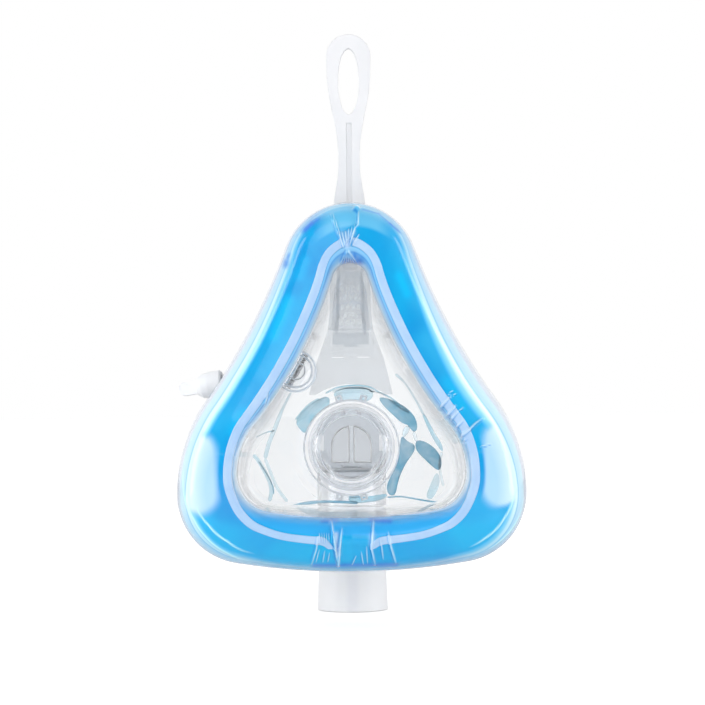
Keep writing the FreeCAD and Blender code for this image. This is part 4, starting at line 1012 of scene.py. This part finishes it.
def pale_floor():
    """Pale floor under the cuff, which glows a little where it is seen straight or through clear plastic."""
    floor_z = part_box("hose_swivel")[0].z - FLOOR_GAP
    mesh = bpy.data.meshes.new("floor")
    corners = [(x * FLOOR_REACH, y * FLOOR_REACH, floor_z) for x, y in ((-1, -1), (1, -1), (1, 1), (-1, 1))]
    mesh.from_pydata(corners, [], [(0, 1, 2, 3)])
    floor = bpy.data.objects.new("floor", mesh)
    bpy.context.scene.collection.objects.link(floor)
    material, tree = shader("pale_floor", Roughness=0.9)
    drive(tree, "Base Color", mixed(tree, noise(tree, 3.0), (0.90, 0.90, 0.91), (0.93, 0.93, 0.93)))
    seen = node(tree, "ShaderNodeLightPath")
    seen_through = maths(tree, "MULTIPLY", seen.outputs["Is Transmission Ray"], 0.26)
    seen_straight = maths(tree, "MULTIPLY", seen.outputs["Is Camera Ray"], 0.45)
    glow = node(tree, "ShaderNodeEmission", Strength=maths(tree, "ADD", seen_through, seen_straight))
    both = node(tree, "ShaderNodeAddShader")
    tree.links.new(tree.nodes["Principled BSDF"].outputs[0], both.inputs[0])
    tree.links.new(glow.outputs[0], both.inputs[1])
    tree.links.new(both.outputs[0], tree.nodes["Material Output"].inputs["Surface"])
    mesh.materials.append(material)


def world():
    """White where the camera looks, near white through clear plastic, and in mirrored rays dark in front and
    light behind, so that gloss has an edge. All else is lit by a soft pale sky."""
    made = bpy.data.worlds.new("studio")
    bpy.context.scene.world = made
    made.use_nodes = True
    tree = made.node_tree

    def backdrop(colour):
        return node(tree, "ShaderNodeBackground", Color=colour, Strength=1.0)

    ambient = tree.nodes["Background"]
    ambient.inputs["Color"].default_value = (0.97, 0.985, 1.0, 1.0)
    ambient.inputs["Strength"].default_value = 0.66
    white = backdrop((1.0, 1.0, 1.0, 1.0))
    through = backdrop((0.945, 0.95, 0.96, 1.0))
    way = node(tree, "ShaderNodeSeparateXYZ", Vector=node(tree, "ShaderNodeTexCoord").outputs["Generated"])
    behind = ramp(tree, way.outputs["Y"], -0.1, 0.6)
    mirrored = backdrop(mixed(tree, behind, (0.10, 0.105, 0.11), (0.95, 0.95, 0.96)))
    seen = node(tree, "ShaderNodeLightPath")
    inside = ramp(tree, seen.outputs["Transmission Depth"], 0.2, 0.8)
    kinds = ("Glossy", "Transmission", "Camera")
    glossy, passed, straight = (seen.outputs["Is " + kind + " Ray"] for kind in kinds)
    inside = maths(tree, "MULTIPLY", inside, glossy)
    sky = ambient.outputs[0]
    for ray, picture in ((glossy, mirrored), (inside, through), (passed, through), (straight, white)):
        choice = node(tree, "ShaderNodeMixShader")
        tree.links.new(ray, choice.inputs[0])
        tree.links.new(sky, choice.inputs[1])
        tree.links.new(picture.outputs[0], choice.inputs[2])
        sky = choice.outputs[0]
    tree.links.new(sky, tree.nodes["World Output"].inputs["Surface"])


def lamps():
    """A large soft lamp from above, a fill from the front without gloss, and two tall strips at the sides."""
    light("key", (-0.35, -0.85, 0.75), (0, 0.03, 0.02), (0.9, 0.7), 1.2)
    light("front_fill", (0.0, -1.35, 0.03), (0, 0.03, 0.03), (1.3, 1.1), 2.1).visible_glossy = False
    light("left_strip", (-0.55, -0.10, 0.05), (0, 0.02, 0.02), (0.16, 0.9), 3.5)
    light("right_strip", (0.55, -0.10, 0.05), (0, 0.02, 0.02), (0.16, 0.9), 3.5)


camera()
pale_floor()
world()
lamps()

dress("shell", clear_dome())
clear_ring, _ = clear_plastic("clear_ring", (0.98, 0.985, 1.0), (0.95, 0.97, 0.99), 0.05, 0.6, alpha=0.35)
dress("cushion_ring", clear_ring)
clear_port, _ = clear_plastic("clear_port", (0.96, 0.97, 0.985), (0.92, 0.935, 0.96), 0.04, 1.0, alpha=0.62)
for name in ("port_ring", "elbow", "side_port"):
    dress(name, clear_port)
dress("valve_frame", valve_plastic())
milky, _ = clear_plastic("bracket_plastic", (0.66, 0.73, 0.80), (0.60, 0.67, 0.75), 0.20, 0.2, alpha=0.26)
dress("arm_bracket", milky)
dress("forehead_arm", arm_plastic())
dress("hose_swivel", cuff_plastic())
dress("valve_flap", soft_silicone("flap_silicone", (0.42, 0.45, 0.48), (0.36, 0.39, 0.42)))
dress("port_cap", soft_silicone("cap_silicone", (0.97, 0.975, 0.99), (0.94, 0.95, 0.97)))

for name in BONDED:
    inset = frame["nodes"][name].modifiers.new("bond_line", "DISPLACE")
    inset.strength = -BOND_LINE * MM
    inset.mid_level = 0.0

gel = gel_cushion()
gel.data.materials.append(film_over_gel())
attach(gel, "mask")
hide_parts("gel_cushion")
band = seam_band()
band.data.materials.append(welded_film())
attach(band, "mask")
relief = shell_relief()
relief.data.materials.append(moulded_relief())
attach(relief, "mask")

# Near-white plastic for the beads: a painted highlight along real rounded edges
white_edge_highlight, _ = clear_plastic("white_edge_highlight", (0.99, 0.99, 1.0), (0.96, 0.965, 0.985), 0.08, 0.25)
round_edges = [circle(AXIS, *PORT_EDGE)] + [circle(SIDE_PORT, *edge) for edge in SIDE_PORT_EDGES]
rims = bead("rim_beads", round_edges + [lug_loop(angle) for angle in LUG["angles"]])
rims.data.materials.append(white_edge_highlight)
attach(rims, "mask")
edges = bead("valve_beads", [circle(AXIS, *edge) for edge in ELBOW_EDGES] + [window_loop(-1), window_loop(1)])
edges.data.materials.append(white_edge_highlight)
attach(edges, "swivel_elbow")

bpy.context.scene.view_settings.view_transform = "Standard"
